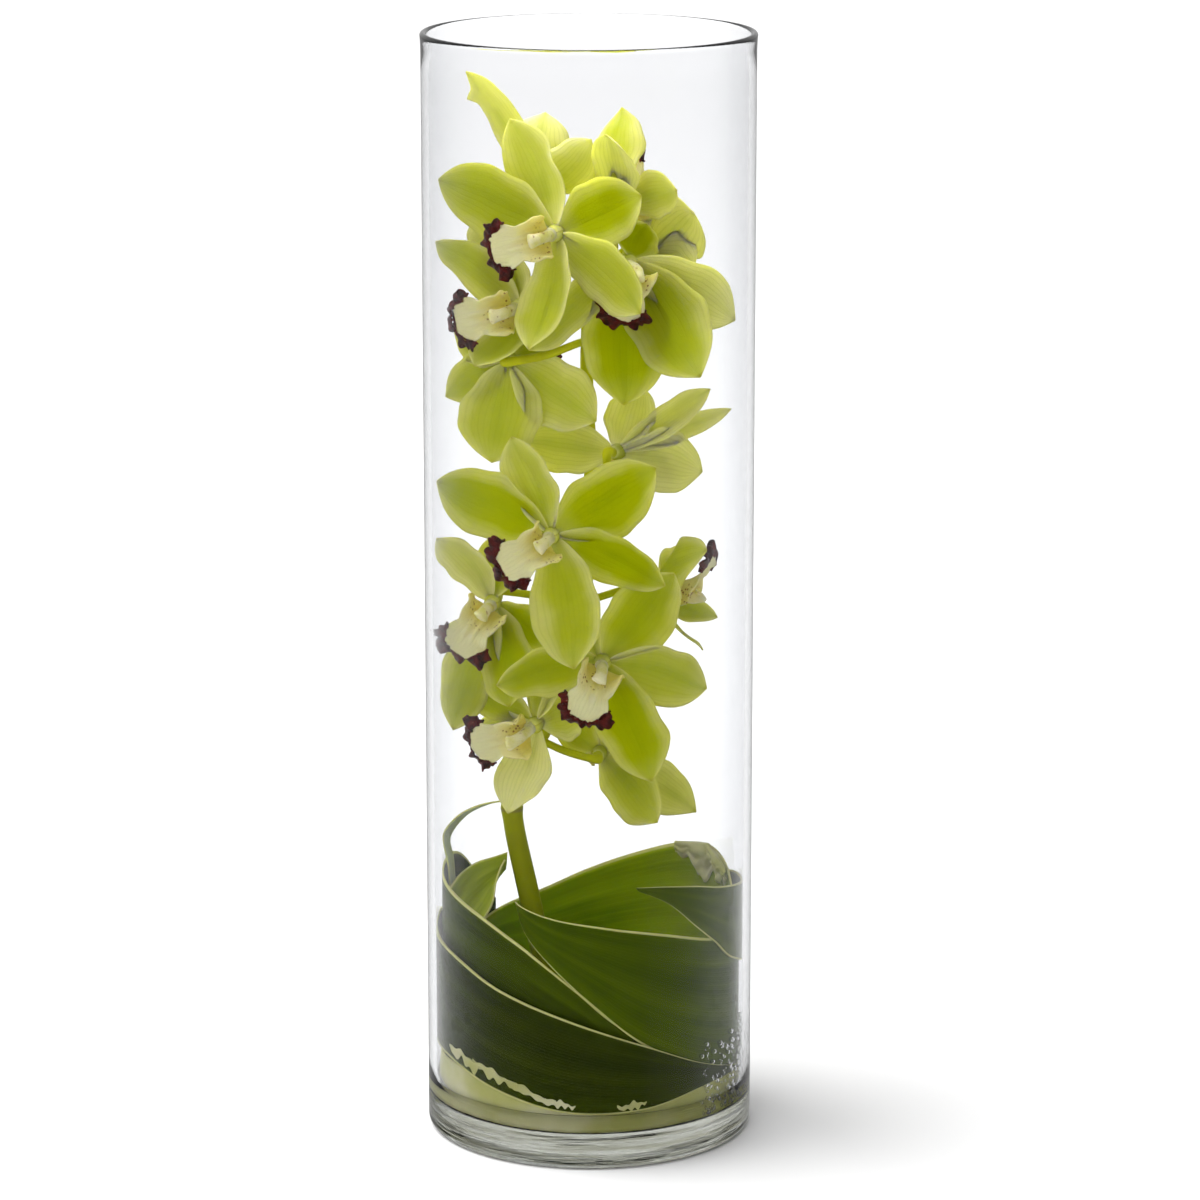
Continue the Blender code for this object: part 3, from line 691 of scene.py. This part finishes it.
def stem_finish():
    """A green stalk: darker low down and lighter towards its top, partly a fresher green and partly painted
    light on the side stalks that lie in shade among the blooms, with a brown ring at its joint, finely
    ribbed.
    """
    stem = Finish("green_stalk", 0.45)
    mottle = stem.mottle(70.0, 1200.0)
    height = split(stem.places["Object"])["Z"]
    # Painted light: the lift with height lightens the side stalks, which lie in shade among the blooms.
    colour = blend(spread(height, 0.06, 0.24), (0.32, 0.36, 0.003), (0.68, 0.69, 0.012))
    colour = blend(spread(mottle["Blotches"], 0.4, 0.75, 0.0, 0.5), colour, (0.32, 0.33, 0.01))
    scar = abs(height - STEM_JOINT * MM)
    colour = blend(spread(scar, 0.0, 0.0016, 0.75, 0.0), colour, (0.3, 0.26, 0.08))
    ribs = noise(stretch(stem.places["Object"], (1.0, 1.0, 0.06)), 900.0, 2.0)
    stem.tissue(0.25, (0.8, 1.0, 0.1), 0.004, 0.1)
    return stem.close(colour, ribs + mottle["Grain"], 0.35)


def leaf_finish(name, deep, bright, light_through=0.12):
    """A broad smooth leaf with parallel veins, a pale edge line that is a painted highlight, and long streaks
    of lighter green that are a painted sheen.
    """
    leaf = Finish(name, 0.32)
    veins, mottle = leaf.veins(30.0, 0.012), leaf.mottle(22.0, 1500.0)
    blotches, away = mottle["Blotches"], off_middle(veins)
    # Painted sheen: long streaks of lighter green stand in for the gloss along the leaf.
    streaks = noise(stretch(leaf.places["UV"], (2.4, 0.45, 1.0)), 2.4)
    colour = blend(spread(streaks, 0.25, 0.78), deep, bright)
    colour = blend(spread(blotches, 0.45, 0.8, 0.0, 0.45), colour, bright)
    lighter = tuple(1.4 * value + more for value, more in zip(bright, (0.004, 0.004, 0.0004)))
    colour = blend(veins["Lines"] * 0.1, colour, lighter)
    # Painted highlight: the lighter band and the whitish line along the edge stand in for light catching the
    # leaf's rim.
    colour = blend(spread(away, 0.9, 1.0, 0.0, 0.55), colour, lighter)
    colour = blend(spread(away, 0.95, 0.975, 0.0, 0.95), colour, LEAF_EDGE_HIGHLIGHT)
    torn = blend(spread(blotches, 0.35, 0.65), TORN_AND_LIT_PALE, TORN_GREEN)
    # The torn share paints torn tissue pale, and on the leaf folds and leaf bases it also paints light.
    colour = blend(leaf.attribute("torn"), colour, torn)
    leaf.tissue(light_through, (0.7, 1.0, 0.05), 0.003, 0.03)
    leaf.set(Roughness=spread(blotches, 0.3, 0.8, 0.26, 0.42))
    return leaf.close(colour, veins["Lines"] * 0.35 + streaks + mottle["Grain"] * 0.3, 0.2)


def clear_finish(name, colour, ior, waviness, edge=None, foot=0.0, depth=0.0, mirror=0.03):
    """Clear glass or water: wavy, greyed by painted shade where it is seen along its wall, and in a thick
    foot streaked, with painted dark bands in the streaks.
    """
    clear = Finish(name, 0.0)
    mottle = clear.mottle(9.0, 26.0)
    tint = blend(mottle["Blotches"], colour, tuple(0.985 * value for value in colour))
    height = mottle["Grain"] * waviness
    if edge:
        # Painted shade: the tint darkens where the glass is seen at a grazing angle, standing in for the dark
        # edges of the wall.
        weight = wires(add_node(clear.tree, "LayerWeight", Blend=0.5))
        tint = blend(spread(weight["Facing"], 0.15, 0.95), tint, edge)
    if foot:
        streaks = noise(stretch(clear.places["Object"], (1.0, 1.0, 26.0)), 13.0, 3.0, 0.6)
        low = spread(split(clear.places["Object"])["Z"], (VASE_FLOOR + 1.5) * MM, (VASE_FLOOR - 2.5) * MM)
        height = height + streaks * low * foot
        # Painted shade: the streaks are tinted dark to stand in for the dark bands refracted in the thick
        # foot; their bump is the glass's own waviness.
        tint = blend(low * spread(streaks, 0.42, 0.6, 0.0, 0.85), tint, FOOT_BAND_SHADE)
    clear.set(Transmission_Weight=1.0, IOR=ior, Specular_IOR_Level=mirror, Specular_Tint=(mirror,) * 3)
    if depth:
        inside = add_node(clear.tree, "VolumeAbsorption", Color=DEEP_GLASS, Density=depth)
        clear.tree.links.new(inside.outputs[0], clear.tree.nodes["Material Output"].inputs["Volume"])
    return clear.close(tint, height, 1.0, 0.001)


vein_group = make_vein_group()
mottle_group = make_mottle_group()


def tepal_half_width(t):
    """The outline: half of the width at a share t of the length, where 1 is the widest."""
    rise = TEPAL_ROOT + (1 - TEPAL_ROOT) * np.sin(np.pi / 2 * ramp(t, 0, TEPAL_WIDEST)) ** 0.8
    left = ramp(t, TEPAL_WIDEST, 1)
    rounded = np.maximum(0.0, np.cos(np.pi / 2 * left ** 1.75)) ** 0.9
    return np.where(t < TEPAL_WIDEST, rise, np.maximum(0.02, 0.8 * rounded + 0.2 * (1 - left)))


def make_tepal(name, bloom, blade, forward, dice):
    """One petal or sepal, waved along its edge, keeled down its middle, and set forward of its neighbours."""
    centre = bloom["centre"]
    right, up, out = level_frame(bloom)
    turn, lean = math.radians(blade["turn"]), math.radians(blade["lean"])
    away = right * math.cos(turn) + up * math.sin(turn)
    tip = centre + blade["length"] * (away * math.cos(lean) + out * math.sin(lean))
    root = centre + away * (HUB_RADIUS - 1.6) - out * 1.5
    axis = tip - root
    along = unit(axis)
    normal = unit(out - along * np.dot(out, along))
    across = np.cross(along, normal)
    phases = dice.uniform(0, 2 * math.pi, 6)
    waves = dice.uniform(0.7, 1.3, 3)
    hook = dice.uniform(-3.2, 1.6)
    narrow = min(1.0, blade["width"] / 28.0)
    fork = FORK_DEPTH if name in FORKED_PETALS else 0.0

    def place(t, u):
        t, u = t[:, None], u[:, None]
        twist = math.radians(blade["twist"]) * t
        side = across * np.cos(twist) + normal * np.sin(twist)
        face = normal * np.cos(twist) - across * np.sin(twist)
        half = blade["width"] / 2 * tepal_half_width(t)
        middle = root + axis * t - normal * blade["bow"] * 4 * t * (1 - t)
        middle = middle + out * forward * ramp(t, 0, 0.2)
        swell = np.sin(np.pi * np.clip(t, 0, 1)) ** 0.7
        ripple = (np.sin(6.5 * waves[0] * t + phases[0] + 1.4 * u) * 2.0
                  + np.sin(15 * waves[1] * t + phases[1] - 2.0 * u) * 0.7) * np.abs(u) ** 2.2
        keel = -0.55 * hump(u, 0, 0.1) + 0.22 * hump(np.abs(u), 0.3, 0.14)
        lift = (ripple + keel) * swell * narrow + hook * ramp(t, 0.84, 1) ** 2
        sway = np.sin(3.1 * t + phases[2]) * 0.9 * t * (1 - t) * 4 * narrow
        wander = (0.06 * np.sin(9 * t + phases[4] + 1.7 * np.sign(u))
                  + 0.03 * np.sin(21 * t + phases[3] + 2 * np.sign(u)))
        edge = 1 + fork * hump(t, 0.8, 0.045) * (u > 0) + wander * swell
        return middle + side * (half * u * edge + sway) + face * (blade["cup"] * half * u * u + lift)

    piece = lay_blade(name, *TEPAL_GRID, place)
    across_grid = np.tile(np.linspace(-1, 1, TEPAL_GRID[1] + 1), TEPAL_GRID[0] + 1)
    thicken(piece, BLADE_THICKNESS, 1 - 0.8 * np.abs(across_grid) ** 3)
    petal = name[len("bloom_"):]
    pale = PALE_PETALS.get(petal, PALE_PETALS[petal[0]])
    mark(piece, "tone", float(np.clip(dice.normal(pale, 0.05), 0, 1)))
    return piece


def make_hub(name, bloom):
    """The short green receptacle that the tepals grow from."""
    centre, out = bloom["centre"], facing(*bloom["faces"])
    places = [centre + out * place for place in (HUB_BACK, -5.5, -3.5, -1.5, 0.5, HUB_FRONT - 0.4, HUB_FRONT)]
    radii = (HUB_BACK_RADIUS - 0.3, HUB_BACK_RADIUS, 3.2, 3.9, HUB_RADIUS, HUB_RADIUS - 0.5, HUB_RADIUS - 1.6)
    piece = stalk(name, places, radii, 24)
    piece.data.uv_layers.new(name="UVMap")
    mark(piece, "tone", 0.3)
    return piece


def lip_point(bloom, s, x):
    """Points of the lip's upper face: s runs from 0 at its root to 1 at its end, x is sideways."""
    right, up, out = lip_frame(bloom)
    line = smooth_path([(0, drop, reach) for drop, reach in LIP_LINE], LIP_STEPS + 1)
    where, steps = np.clip(s, 0, 1) * LIP_STEPS, np.arange(LIP_STEPS + 1)
    drop, reach = np.interp(where, steps, line[:, 1]), np.interp(where, steps, line[:, 2])
    trough = 0.055 * x * x * np.maximum(0.0, 1 - ((s - 0.3) / 0.3) ** 2)
    curl = 0.012 * x * x * np.maximum(0.0, s - LOBE_START) / (1 - LOBE_START)
    x, drop, reach = x[:, None], (drop + trough)[:, None], (reach - curl)[:, None]
    return bloom["centre"] + right * x + up * drop + out * reach


def lip_normal(bloom, s, x):
    step = lip_point(bloom, s + 0.01, x) - lip_point(bloom, s - 0.01, x)
    side = lip_point(bloom, s, x + 0.1) - lip_point(bloom, s, x - 0.1)
    normal = np.cross(side, step)
    return -normal / np.linalg.norm(normal, axis=1, keepdims=True)


def lip_half_width(s):
    """Half of the cream part's width at a share s of its length: side lobes, a waist, the middle lobe."""
    ears = 3.0 + 9.6 * np.sin(np.pi * ramp(s, 0, 0.54)) ** 0.5
    neck = LIP_WAIST + (LOBE_HALF_WIDTH - LIP_WAIST) * ramp(s, 0.46, LOBE_START) ** 1.3
    lobe = LOBE_HALF_WIDTH * np.sqrt(np.maximum(0.004, 1 - ((s - LOBE_START) / LOBE_LENGTH) ** 2))
    return np.where(s <= LOBE_START, np.maximum(ears, np.where(s > 0.36, neck, 0.0)), lobe)


def make_lip(name, bloom, dice):
    """The cream lip: side lobes raised round the column, two ridges, and a rounded middle lobe."""
    phases = dice.uniform(0, 2 * math.pi, 6)
    right, up, out = lip_frame(bloom)

    def place(t, u):
        s = t * (LOBE_START + LOBE_LENGTH)
        x = u * lip_half_width(s)
        ear = (ramp(np.abs(x), 5.0, 11.5) ** 1.4 * np.sin(np.pi * ramp(s, 0, 0.56)))[:, None]
        raised = (up * 1.6 + out * 1.8 - right * np.sign(x)[:, None] * 3.0) * ear
        ridge = 1.3 * hump(np.abs(x), 2.0, 0.7) * ramp(s, 0, 0.1) * (1 - ramp(s, 0.52, 0.64))
        frill = (0.8 * np.sin(23 * s + phases[0] + 2 * np.sign(u))
                 + 0.45 * np.sin(49 * s + phases[2] - np.sign(u))) * np.abs(u) ** 3 * ramp(s, 0, 0.2)
        billow = 0.7 * np.sin(9 * s + phases[1]) * ramp(s, 0.5, 0.8) * (1 - u * u)
        return lip_point(bloom, s, x) + raised + lip_normal(bloom, s, x) * (ridge + frill + billow)[:, None]

    piece = lay_blade(name, *LIP_GRID, place)
    thicken(piece, LIP_THICKNESS)
    piece.data.materials.append(finishes["lip"])
    return piece


def make_margin(name, bloom, dice):
    """The dark frilled margin round the lip's end: ragged fingers, deeply waved, over the cream's edge."""
    phases = dice.uniform(0, 2 * math.pi, 8)

    def place(t, u):
        angle = np.pi * (t - 0.5) * 1.04
        outward = (u + 1) / 2
        fingers = (0.42 * np.sin(13 * t + phases[0]) + 0.3 * np.sin(31 * t + phases[1])
                   + 0.22 * np.abs(np.sin(47 * t + phases[2])) + 0.12 * np.sin(97 * t + phases[5]))
        inner = 1.7 * np.abs(np.sin(19 * t + phases[6])) * np.abs(np.sin(33 * t + phases[7]))
        width = MARGIN_WIDTH * np.clip(1.0 + fingers, 0.45, 1.65)
        taper = np.clip(np.minimum(t, 1 - t) / 0.08, 0.2, 1)
        reach = -inner * (1 - outward) * taper + outward * width * taper
        s = LOBE_START + (LOBE_LENGTH + reach / LIP_LENGTH) * np.cos(angle)
        x = (LOBE_HALF_WIDTH + reach) * np.sin(angle)
        ruffle = outward ** 1.2 * (1.5 * np.sin(29 * t + phases[3]) + 0.8 * np.sin(63 * t + phases[4]))
        rise = 0.75 * (1 - outward) + ruffle * taper - 0.9 * outward ** 2
        return lip_point(bloom, s, x) + lip_normal(bloom, s, x) * rise[:, None]

    piece = lay_blade(name, *MARGIN_GRID, place)
    thicken(piece, MARGIN_THICKNESS)
    return piece


def make_column(name, bloom):
    """The arched column over the lip, with its swollen cap."""
    centre = bloom["centre"]
    _, up, out = lip_frame(bloom)
    line = smooth_path([centre + out * reach + up * rise for reach, rise in COLUMN_LINE], COLUMN_STEPS)
    share = np.linspace(0, 1, COLUMN_STEPS)
    radii = 2.5 + 0.3 * share + 0.75 * hump(share, 0.84, 0.11) - 1.9 * ramp(share, 0.9, 1) ** 2
    foot = [centre + out * reach for reach in (2.2, 3.0, 5.4)]
    parts = [stalk(name, line, radii, 20), stalk(name + "_foot", foot, (2.9, 3.2, 2.6), 20)]
    for piece in parts:
        piece.data.uv_layers.new(name="UVMap")
        piece.data.materials.append(finishes["column"])
    return parts


def make_bloom(name, bloom, dice):
    tepals = [make_hub(name + "_hub", bloom)]
    for index, (place, blade) in enumerate(bloom["tepals"].items()):
        forward = bloom["petal_layer"] * (-1 if index % 2 else 1)
        tepals.append(make_tepal(name + "_" + place, bloom, blade, forward, dice))
    finish_piece(join(name + "_petals", tepals), name + "_tepals", finishes["tepal"])
    lip = [make_lip(name + "_lobes", bloom, dice), *make_column(name + "_column", bloom)]
    finish_piece(join(name + "_cream_lip", lip), name + "_lip")
    margin = make_margin(name + "_dark_margin", bloom, dice)
    finish_piece(margin, name + "_lip_margin", finishes["margin"])


def make_stalk():
    """The main stalk with its joint, and a side stalk to each bloom."""
    path = smooth_path(STEM_PATH, 150)
    coarse = smooth_path(STEM_PATH, 22)
    radii = np.linspace(STEM_FOOT_RADIUS, STEM_TIP_RADIUS, len(path))
    radii = radii + 0.7 * hump(path[:, 2], STEM_JOINT, 2.2)
    parts = [stalk("main_stalk", path, radii, 28)]
    for name, bloom in BLOOMS.items():
        out = facing(*bloom["faces"])
        end = bloom["centre"] + out * (HUB_BACK - 0.1)
        below = end - out * 10 - np.array((0, 0, 12.0))
        nearest = tuple(coarse[np.argmin(np.linalg.norm(coarse - below, axis=1))])
        line = smooth_path([*(bloom["route"] or [nearest]), end - out * 6, end], SIDE_STALK_STEPS)
        share = np.linspace(0, 1, SIDE_STALK_STEPS)
        swell = PEDICEL_RADIUS + 0.35 * hump(share, 0.75, 0.18) + 0.7 * share ** 6
        parts.append(stalk(name + "_side_stalk", line, swell, 16))
    finish_piece(join("flower_stalk", parts), "stem", finishes["stem"])


def around(angle, radius, height):
    """Points round the vase's axis, where angle 0 is the front and 90 the right."""
    turn = np.radians(angle)
    return np.stack([radius * np.sin(turn), -radius * np.cos(turn), height], axis=-1)


def leaf_place(leaf, dice):
    """Where a leaf's grid lies: t runs along the leaf, u from its upper to its lower edge."""
    edges = [smooth_path(leaf[edge], LEAF_STEPS) for edge in ("top", "bottom")]
    phases = dice.uniform(0, 2 * math.pi, 4)

    def place(t, u):
        where, steps = np.clip(t, 0, 1) * (LEAF_STEPS - 1), np.arange(LEAF_STEPS)
        high, low = (np.stack([np.interp(where, steps, edge[:, k]) for k in range(3)]) for edge in edges)
        share = (u + 1) / 2
        angle, radius, height = high + (low - high) * share
        sag = leaf.get("sag", 0.0) * 4 * share * (1 - share)
        wave = LEAF_WAVE * np.sin(11 * t + phases[0]) * np.abs(u) ** 3
        return around(angle, radius + wave, height - sag)

    return place


def make_leaf_strip(name, grid, place, thickness, torn):
    """A strip of leaf, from 0, whole and green, to 1, torn and pale; on the folds and the leaf bases the
    paleness is partly painted light.
    """
    strip = lay_blade(name, *grid, place)
    thicken(strip, thickness)
    mark(strip, "torn", torn)
    return strip


def make_leaf(name, leaf, dice, finish):
    parts = [make_leaf_strip(name + "_blade", LEAF_GRID, leaf_place(leaf, dice), LEAF_THICKNESS, 0.0)]
    if name == "leaf_back":
        parts += make_folded_end(dice)
    if name == "leaf_low":
        parts += [*make_torn_edge(dice), make_leaf_bases(dice)]
    finish_piece(join(name + "_wrap", parts), name, finish)


def make_folded_end(dice):
    """The inner leaf's cut end, folded over and crumpled, pale both as torn tissue and as a painted highlight
    where light shines through it.
    """
    folds = []
    for index, (start, end, width, pale) in enumerate(LEAF_FOLDS):
        phases = dice.uniform(0, 2 * math.pi, 4)

        def place(t, u):
            angle = start + (end - start) * t
            body = np.sin(np.pi * np.clip(t, 0.03, 0.97)) ** 0.45
            down = (u + 1) / 2
            ragged = 1 + 0.22 * np.sin(13 * t + phases[0]) + 0.12 * np.sin(31 * t + phases[1])
            top = np.interp(angle, (84, 100, 120, 140), (108, 118, 123, 119)) + 0.6
            crumple = (1.1 * np.sin(11 * down + 9 * t + phases[2])
                       + 0.7 * np.sin(19 * down - 15 * t + phases[3]))
            proud = 0.3 + 2.6 * body * np.sin(np.pi * down ** 0.6) + down * body * crumple + index * 1.4
            return around(angle, BACK_LAYER - proud, top - width * body * ragged * down ** 1.3)

        folds.append(make_leaf_strip("leaf_fold_%d" % index, FOLD_GRID, place, 0.5, pale))
    return folds


def make_torn_edge(dice):
    """Pale curled scraps torn from the lowest leaf's lower edge."""
    scraps = []
    for index, (start, end, z_start, z_end, width) in enumerate(LEAF_SCRAPS):
        phases = dice.uniform(0, 2 * math.pi, 4)

        def place(t, u):
            body = np.sin(np.pi * np.clip(t, 0.02, 0.98)) ** 0.5
            lumps = 1 + 0.3 * np.sin(11 * t + phases[0]) + 0.22 * np.sin(27 * t + phases[1])
            roll = 0.08 * (1 + np.sin(19 * t + phases[3]))
            rise = (0.9 * np.sin(9 * t + phases[2]) + 0.5 * np.sin(23 * t + phases[0])) * body + 1.6
            height = z_start + (z_end - z_start) * t + rise - width * body * lumps * (u + 1) / 2
            return around(start + (end - start) * t, SCRAP_LAYER - roll, height)

        scraps.append(make_leaf_strip("leaf_scrap_%d" % index, SCRAP_GRID, place, 0.25, 0.95))
    return scraps


def make_leaf_bases(dice):
    """The pale lower ends of the leaves, pressed together in the water inside the lowest leaf; their paleness
    is partly painted light, standing in for light scattered in the water low in the vase.
    """
    phases = dice.uniform(0, 2 * math.pi, 6)

    def place(t, u):
        angle = -179.5 + 359 * t
        height = (1 - u) / 2
        crumple = (0.7 * np.sin(31 * t + phases[0] + 3 * height)
                   + 0.4 * np.sin(83 * t + phases[1] - 2 * height)
                   + 0.35 * np.sin(11 * t + phases[2] + 5 * height))
        top = 37.5 + 1.5 * np.cos(np.radians(angle + 20)) + 0.8 * np.sin(23 * t + phases[3])
        radius = BASE_LAYER - 0.9 * height + crumple * 0.3
        return around(angle, radius, BASE_FOOT + (top - BASE_FOOT) * height)

    # Painted light: the high torn share makes the bases pale for the light scattered in the water.
    return make_leaf_strip("leaf_bases", BASE_GRID, place, 0.6, 0.92)


def turn_profile(name, profile, steps):
    """A round piece spun from half of its outline, with its poles closed."""
    mesh = bpy.data.meshes.new(name)
    lines = [(i, i + 1) for i in range(len(profile) - 1)]
    mesh.from_pydata([(r * MM, 0.0, z * MM) for r, z in profile], lines, [])
    piece = put_in_scene(name, mesh)
    select_only(piece)
    bpy.ops.object.mode_set(mode="EDIT")
    bpy.ops.mesh.select_all(action="SELECT")
    bpy.ops.mesh.spin(steps=steps, angle=2 * math.pi, center=(0, 0, 0), axis=(0, 0, 1))
    return close_shell(piece, 0.00002)


def corner(centre_r, centre_z, radius, start, end):
    """Points of a rounded corner, from one angle to another."""
    turns = np.radians(np.linspace(start, end, CORNER_STEPS))
    return [(centre_r + radius * math.cos(turn), centre_z + radius * math.sin(turn)) for turn in turns]


def make_vase():
    """The glass cylinder: thick foot with a heel, straight wall, fire-polished rim that flares slightly."""
    outer, inner, floor = VASE_RADIUS, INNER_RADIUS, VASE_FLOOR
    profile = [(0, 2.4), (30, 2.2), (48, 1.6), (53, 1.9), (57, 1), (60.5, 1.3), (63.5, 0.35),
               (66, 0)]
    profile += corner(outer - 4, 4, 4, -90, 0)
    profile += [(outer, z) for z in (20, 60, 140, 240, 340, 440, 490, 500)]
    profile += [(outer + 0.15, 504), (outer + 0.3, 506)]
    profile += corner(outer - 1.2, VASE_HEIGHT - 1.6, 1.6, 10, 170)
    profile += [(inner + 0.6, 504.5)]
    profile += [(inner, z) for z in (500, 490, 440, 340, 240, 140, 60, 30)]
    profile += corner(inner - INNER_FILLET, floor + INNER_FILLET, INNER_FILLET, 0, -90)[1:]
    profile += [(45, floor + 0.3), (20, floor + 0.6), (0, floor + 0.7)]
    finish_piece(turn_profile("clear_cylinder", profile, 320), "vase", finishes["glass"])


def make_water():
    """The shallow water, its edge drawn up a little where it meets the glass."""
    inner, floor, top = INNER_RADIUS + 0.05, VASE_FLOOR, WATER_TOP
    profile = [(0, floor + 0.65), (20, floor + 0.55), (45, floor + 0.25)]
    profile += corner(inner - INNER_FILLET, floor + INNER_FILLET - 0.05, INNER_FILLET, -90, 0)
    profile += [(inner, top + 1.4), (inner - 0.5, top + 0.7), (inner - 1.5, top + 0.2)]
    profile += [(inner - 3.5, top), (40, top), (0, top)]
    finish_piece(turn_profile("still_water", profile, 160), "water", finishes["water"])


def make_bubbles(dice):
    """Fine bubbles that cling to the inside of the glass at the right, thickest low down."""
    select_only()
    bpy.ops.mesh.primitive_ico_sphere_add(subdivisions=2, radius=1.0)
    first = bpy.context.object
    first.name = "bubble"
    bpy.ops.object.shade_smooth()
    sphere = read_points(first)
    bubbles = []
    for _ in range(BUBBLE_COUNT):
        angle = 89 - 44 * dice.random() ** 1.7
        height = 18.5 + 34 * dice.random() ** 1.7
        size = 0.45 + 0.85 * dice.random() ** 1.5
        bubble = put_in_scene("bubble", first.data.copy())
        centre = around(angle, INNER_RADIUS + 0.1 - size * 0.9, height)
        bubble.data.vertices.foreach_set("co", ((sphere * size + centre) * MM).ravel())
        bubbles.append(bubble)
    bpy.data.objects.remove(first)
    finish_piece(join("water_bubbles", bubbles), finish=finishes["bubble"])


def aim(thing, direction):
    thing.rotation_euler = Vector(direction).to_track_quat("-Z", "Y").to_euler()


def make_camera():
    """The camera at the photograph's height, distance and angle."""
    lens = bpy.data.cameras.new("camera")
    camera = put_in_scene("camera", lens)
    lens.sensor_width = 36.0
    lens.lens = CAMERA_LENS
    lens.clip_start = 0.05
    lens.clip_end = 30.0
    camera.location = CAMERA_PLACE
    down, turn = math.radians(CAMERA_DOWN), math.radians(CAMERA_TURN)
    aim(camera, (math.sin(turn) * math.cos(down), math.cos(turn) * math.cos(down), -math.sin(down)))
    bpy.context.scene.camera = camera


def add_softbox(name, place, target, width, power):
    """A square soft light that lights its target and isn't seen in the glass."""
    lamp = bpy.data.lights.new(name, "AREA")
    lamp.shape = "RECTANGLE"
    lamp.size = lamp.size_y = width
    lamp.energy = power
    box = put_in_scene(name, lamp)
    box.location = place
    aim(box, Vector(target) - Vector(place))
    box.visible_glossy = False


def make_sky():
    """White light from above, and below the horizon a darker room that only the glass mirrors."""
    world = bpy.data.worlds.new("studio")
    bpy.context.scene.world = world
    world.use_nodes = True
    tree = world.node_tree
    parts = split(wires(add_node(tree, "TexCoord"))["Generated"])
    turn = parts["X"].math("ARCTAN2", parts["Y"] * -1.0)
    panel = spread(turn, 0.68, 0.74) * spread(turn, 2.1, 1.5) * PANEL_LIGHT
    back = spread(abs(turn), 1.9, 2.7) * BACK_LIGHT
    room = panel.math("MAXIMUM", back) + ROOM_LIGHT
    sky = spread(abs(turn), 0.3, 2.4, FRONT_SKY, 1.0) * SKY_LIGHT
    above = spread(parts["Z"], -0.02, 0.0)
    below = above * -1.0 + 1.0
    fill_all(tree.nodes["Background"], Strength=above * sky + below * room, Color=(1.0, 1.0, 1.0))


def make_studio():
    """A white floor under a white sky, a broad key light from the left and two softboxes."""
    make_sky()
    select_only()
    bpy.ops.mesh.primitive_plane_add(size=60.0, location=(0, 0, 0))
    floor = bpy.context.object
    floor.name = "studio_floor"
    floor.visible_glossy = False
    white = Finish("white_floor", 0.9)
    blotches = white.mottle(2.0, 40.0)["Blotches"]
    white.set(Base_Color=blend(blotches, (0.66,) * 3, (0.668,) * 3), Specular_IOR_Level=0.0)
    floor.data.materials.append(white.material)
    sun = bpy.data.lights.new("key_light", "SUN")
    sun.energy = KEY_LIGHT
    sun.angle = math.radians(KEY_SOFTNESS)
    aim(put_in_scene("key_light", sun), KEY_DIRECTION)
    add_softbox("softbox_above", (0.2, 1.2, 2.4), (0.0, 0.0, 0.3), 1.6, 24.0)
    add_softbox("softbox_front", (-0.6, -1.6, 1.3), (0.0, 0.0, 0.22), 1.0, 14.0)
    bpy.context.scene.view_settings.view_transform = "Standard"


finishes = {
    "tepal": tepal_finish(),
    "lip": lip_finish(),
    "column": column_finish(),
    "margin": margin_finish(),
    "stem": stem_finish(),
    # The glass's grazing colour (0.72, 0.73, 0.745) is painted shade for the dark edges of its wall.
    "glass": clear_finish("clear_glass", (0.908, 0.91, 0.92), 1.5, 0.0015, (0.72, 0.73, 0.745), 0.55,
                          GLASS_DEPTH),
    "water": clear_finish("clear_water", (0.985, 0.985, 0.92), 1.333, 0.05),
    "bubble": clear_finish("clear_bubble", (1.0, 1.0, 1.0), 0.75, 0.02, mirror=0.9),
}
# Each leaf's deep and bright greens are partly its own and partly painted light: leaf_low and leaf_mid are
# darkened as painted shade low in the wrap, and leaf_wide is lightened as painted backlight.
LEAF_COLOURS = {
    "leaf_low": ("dark_shaded_leaf", (0.016, 0.024, 0.0006), (0.045, 0.064, 0.0012)),
    "leaf_mid": ("deep_shaded_leaf", (0.022, 0.037, 0.0006), (0.078, 0.11, 0.0012)),
    "leaf_wide": ("bright_backlit_leaf", (0.044, 0.072, 0.0006), (0.105, 0.15, 0.0012), 0.25),
    "leaf_right": ("grey_leaf", (0.052, 0.08, 0.002), (0.115, 0.16, 0.008)),
    "leaf_back": ("inner_leaf", (0.2, 0.27, 0.003), (0.48, 0.56, 0.016), 0.3),
    "leaf_loop": ("pale_strip", (0.24, 0.29, 0.06), (0.5, 0.56, 0.2), 0.3),
    "leaf_curl": ("curled_leaf", (0.24, 0.31, 0.01), (0.56, 0.62, 0.07), 0.3),
}

draws = np.random.default_rng(7)
make_vase()
make_water()
make_bubbles(draws)
make_stalk()
for leaf_name, leaf_shape in LEAVES.items():
    make_leaf(leaf_name, leaf_shape, draws, leaf_finish(*LEAF_COLOURS[leaf_name]))
for bloom_name, bloom_shape in BLOOMS.items():
    make_bloom(bloom_name, bloom_shape, draws)
make_camera()
make_studio()
select_only()
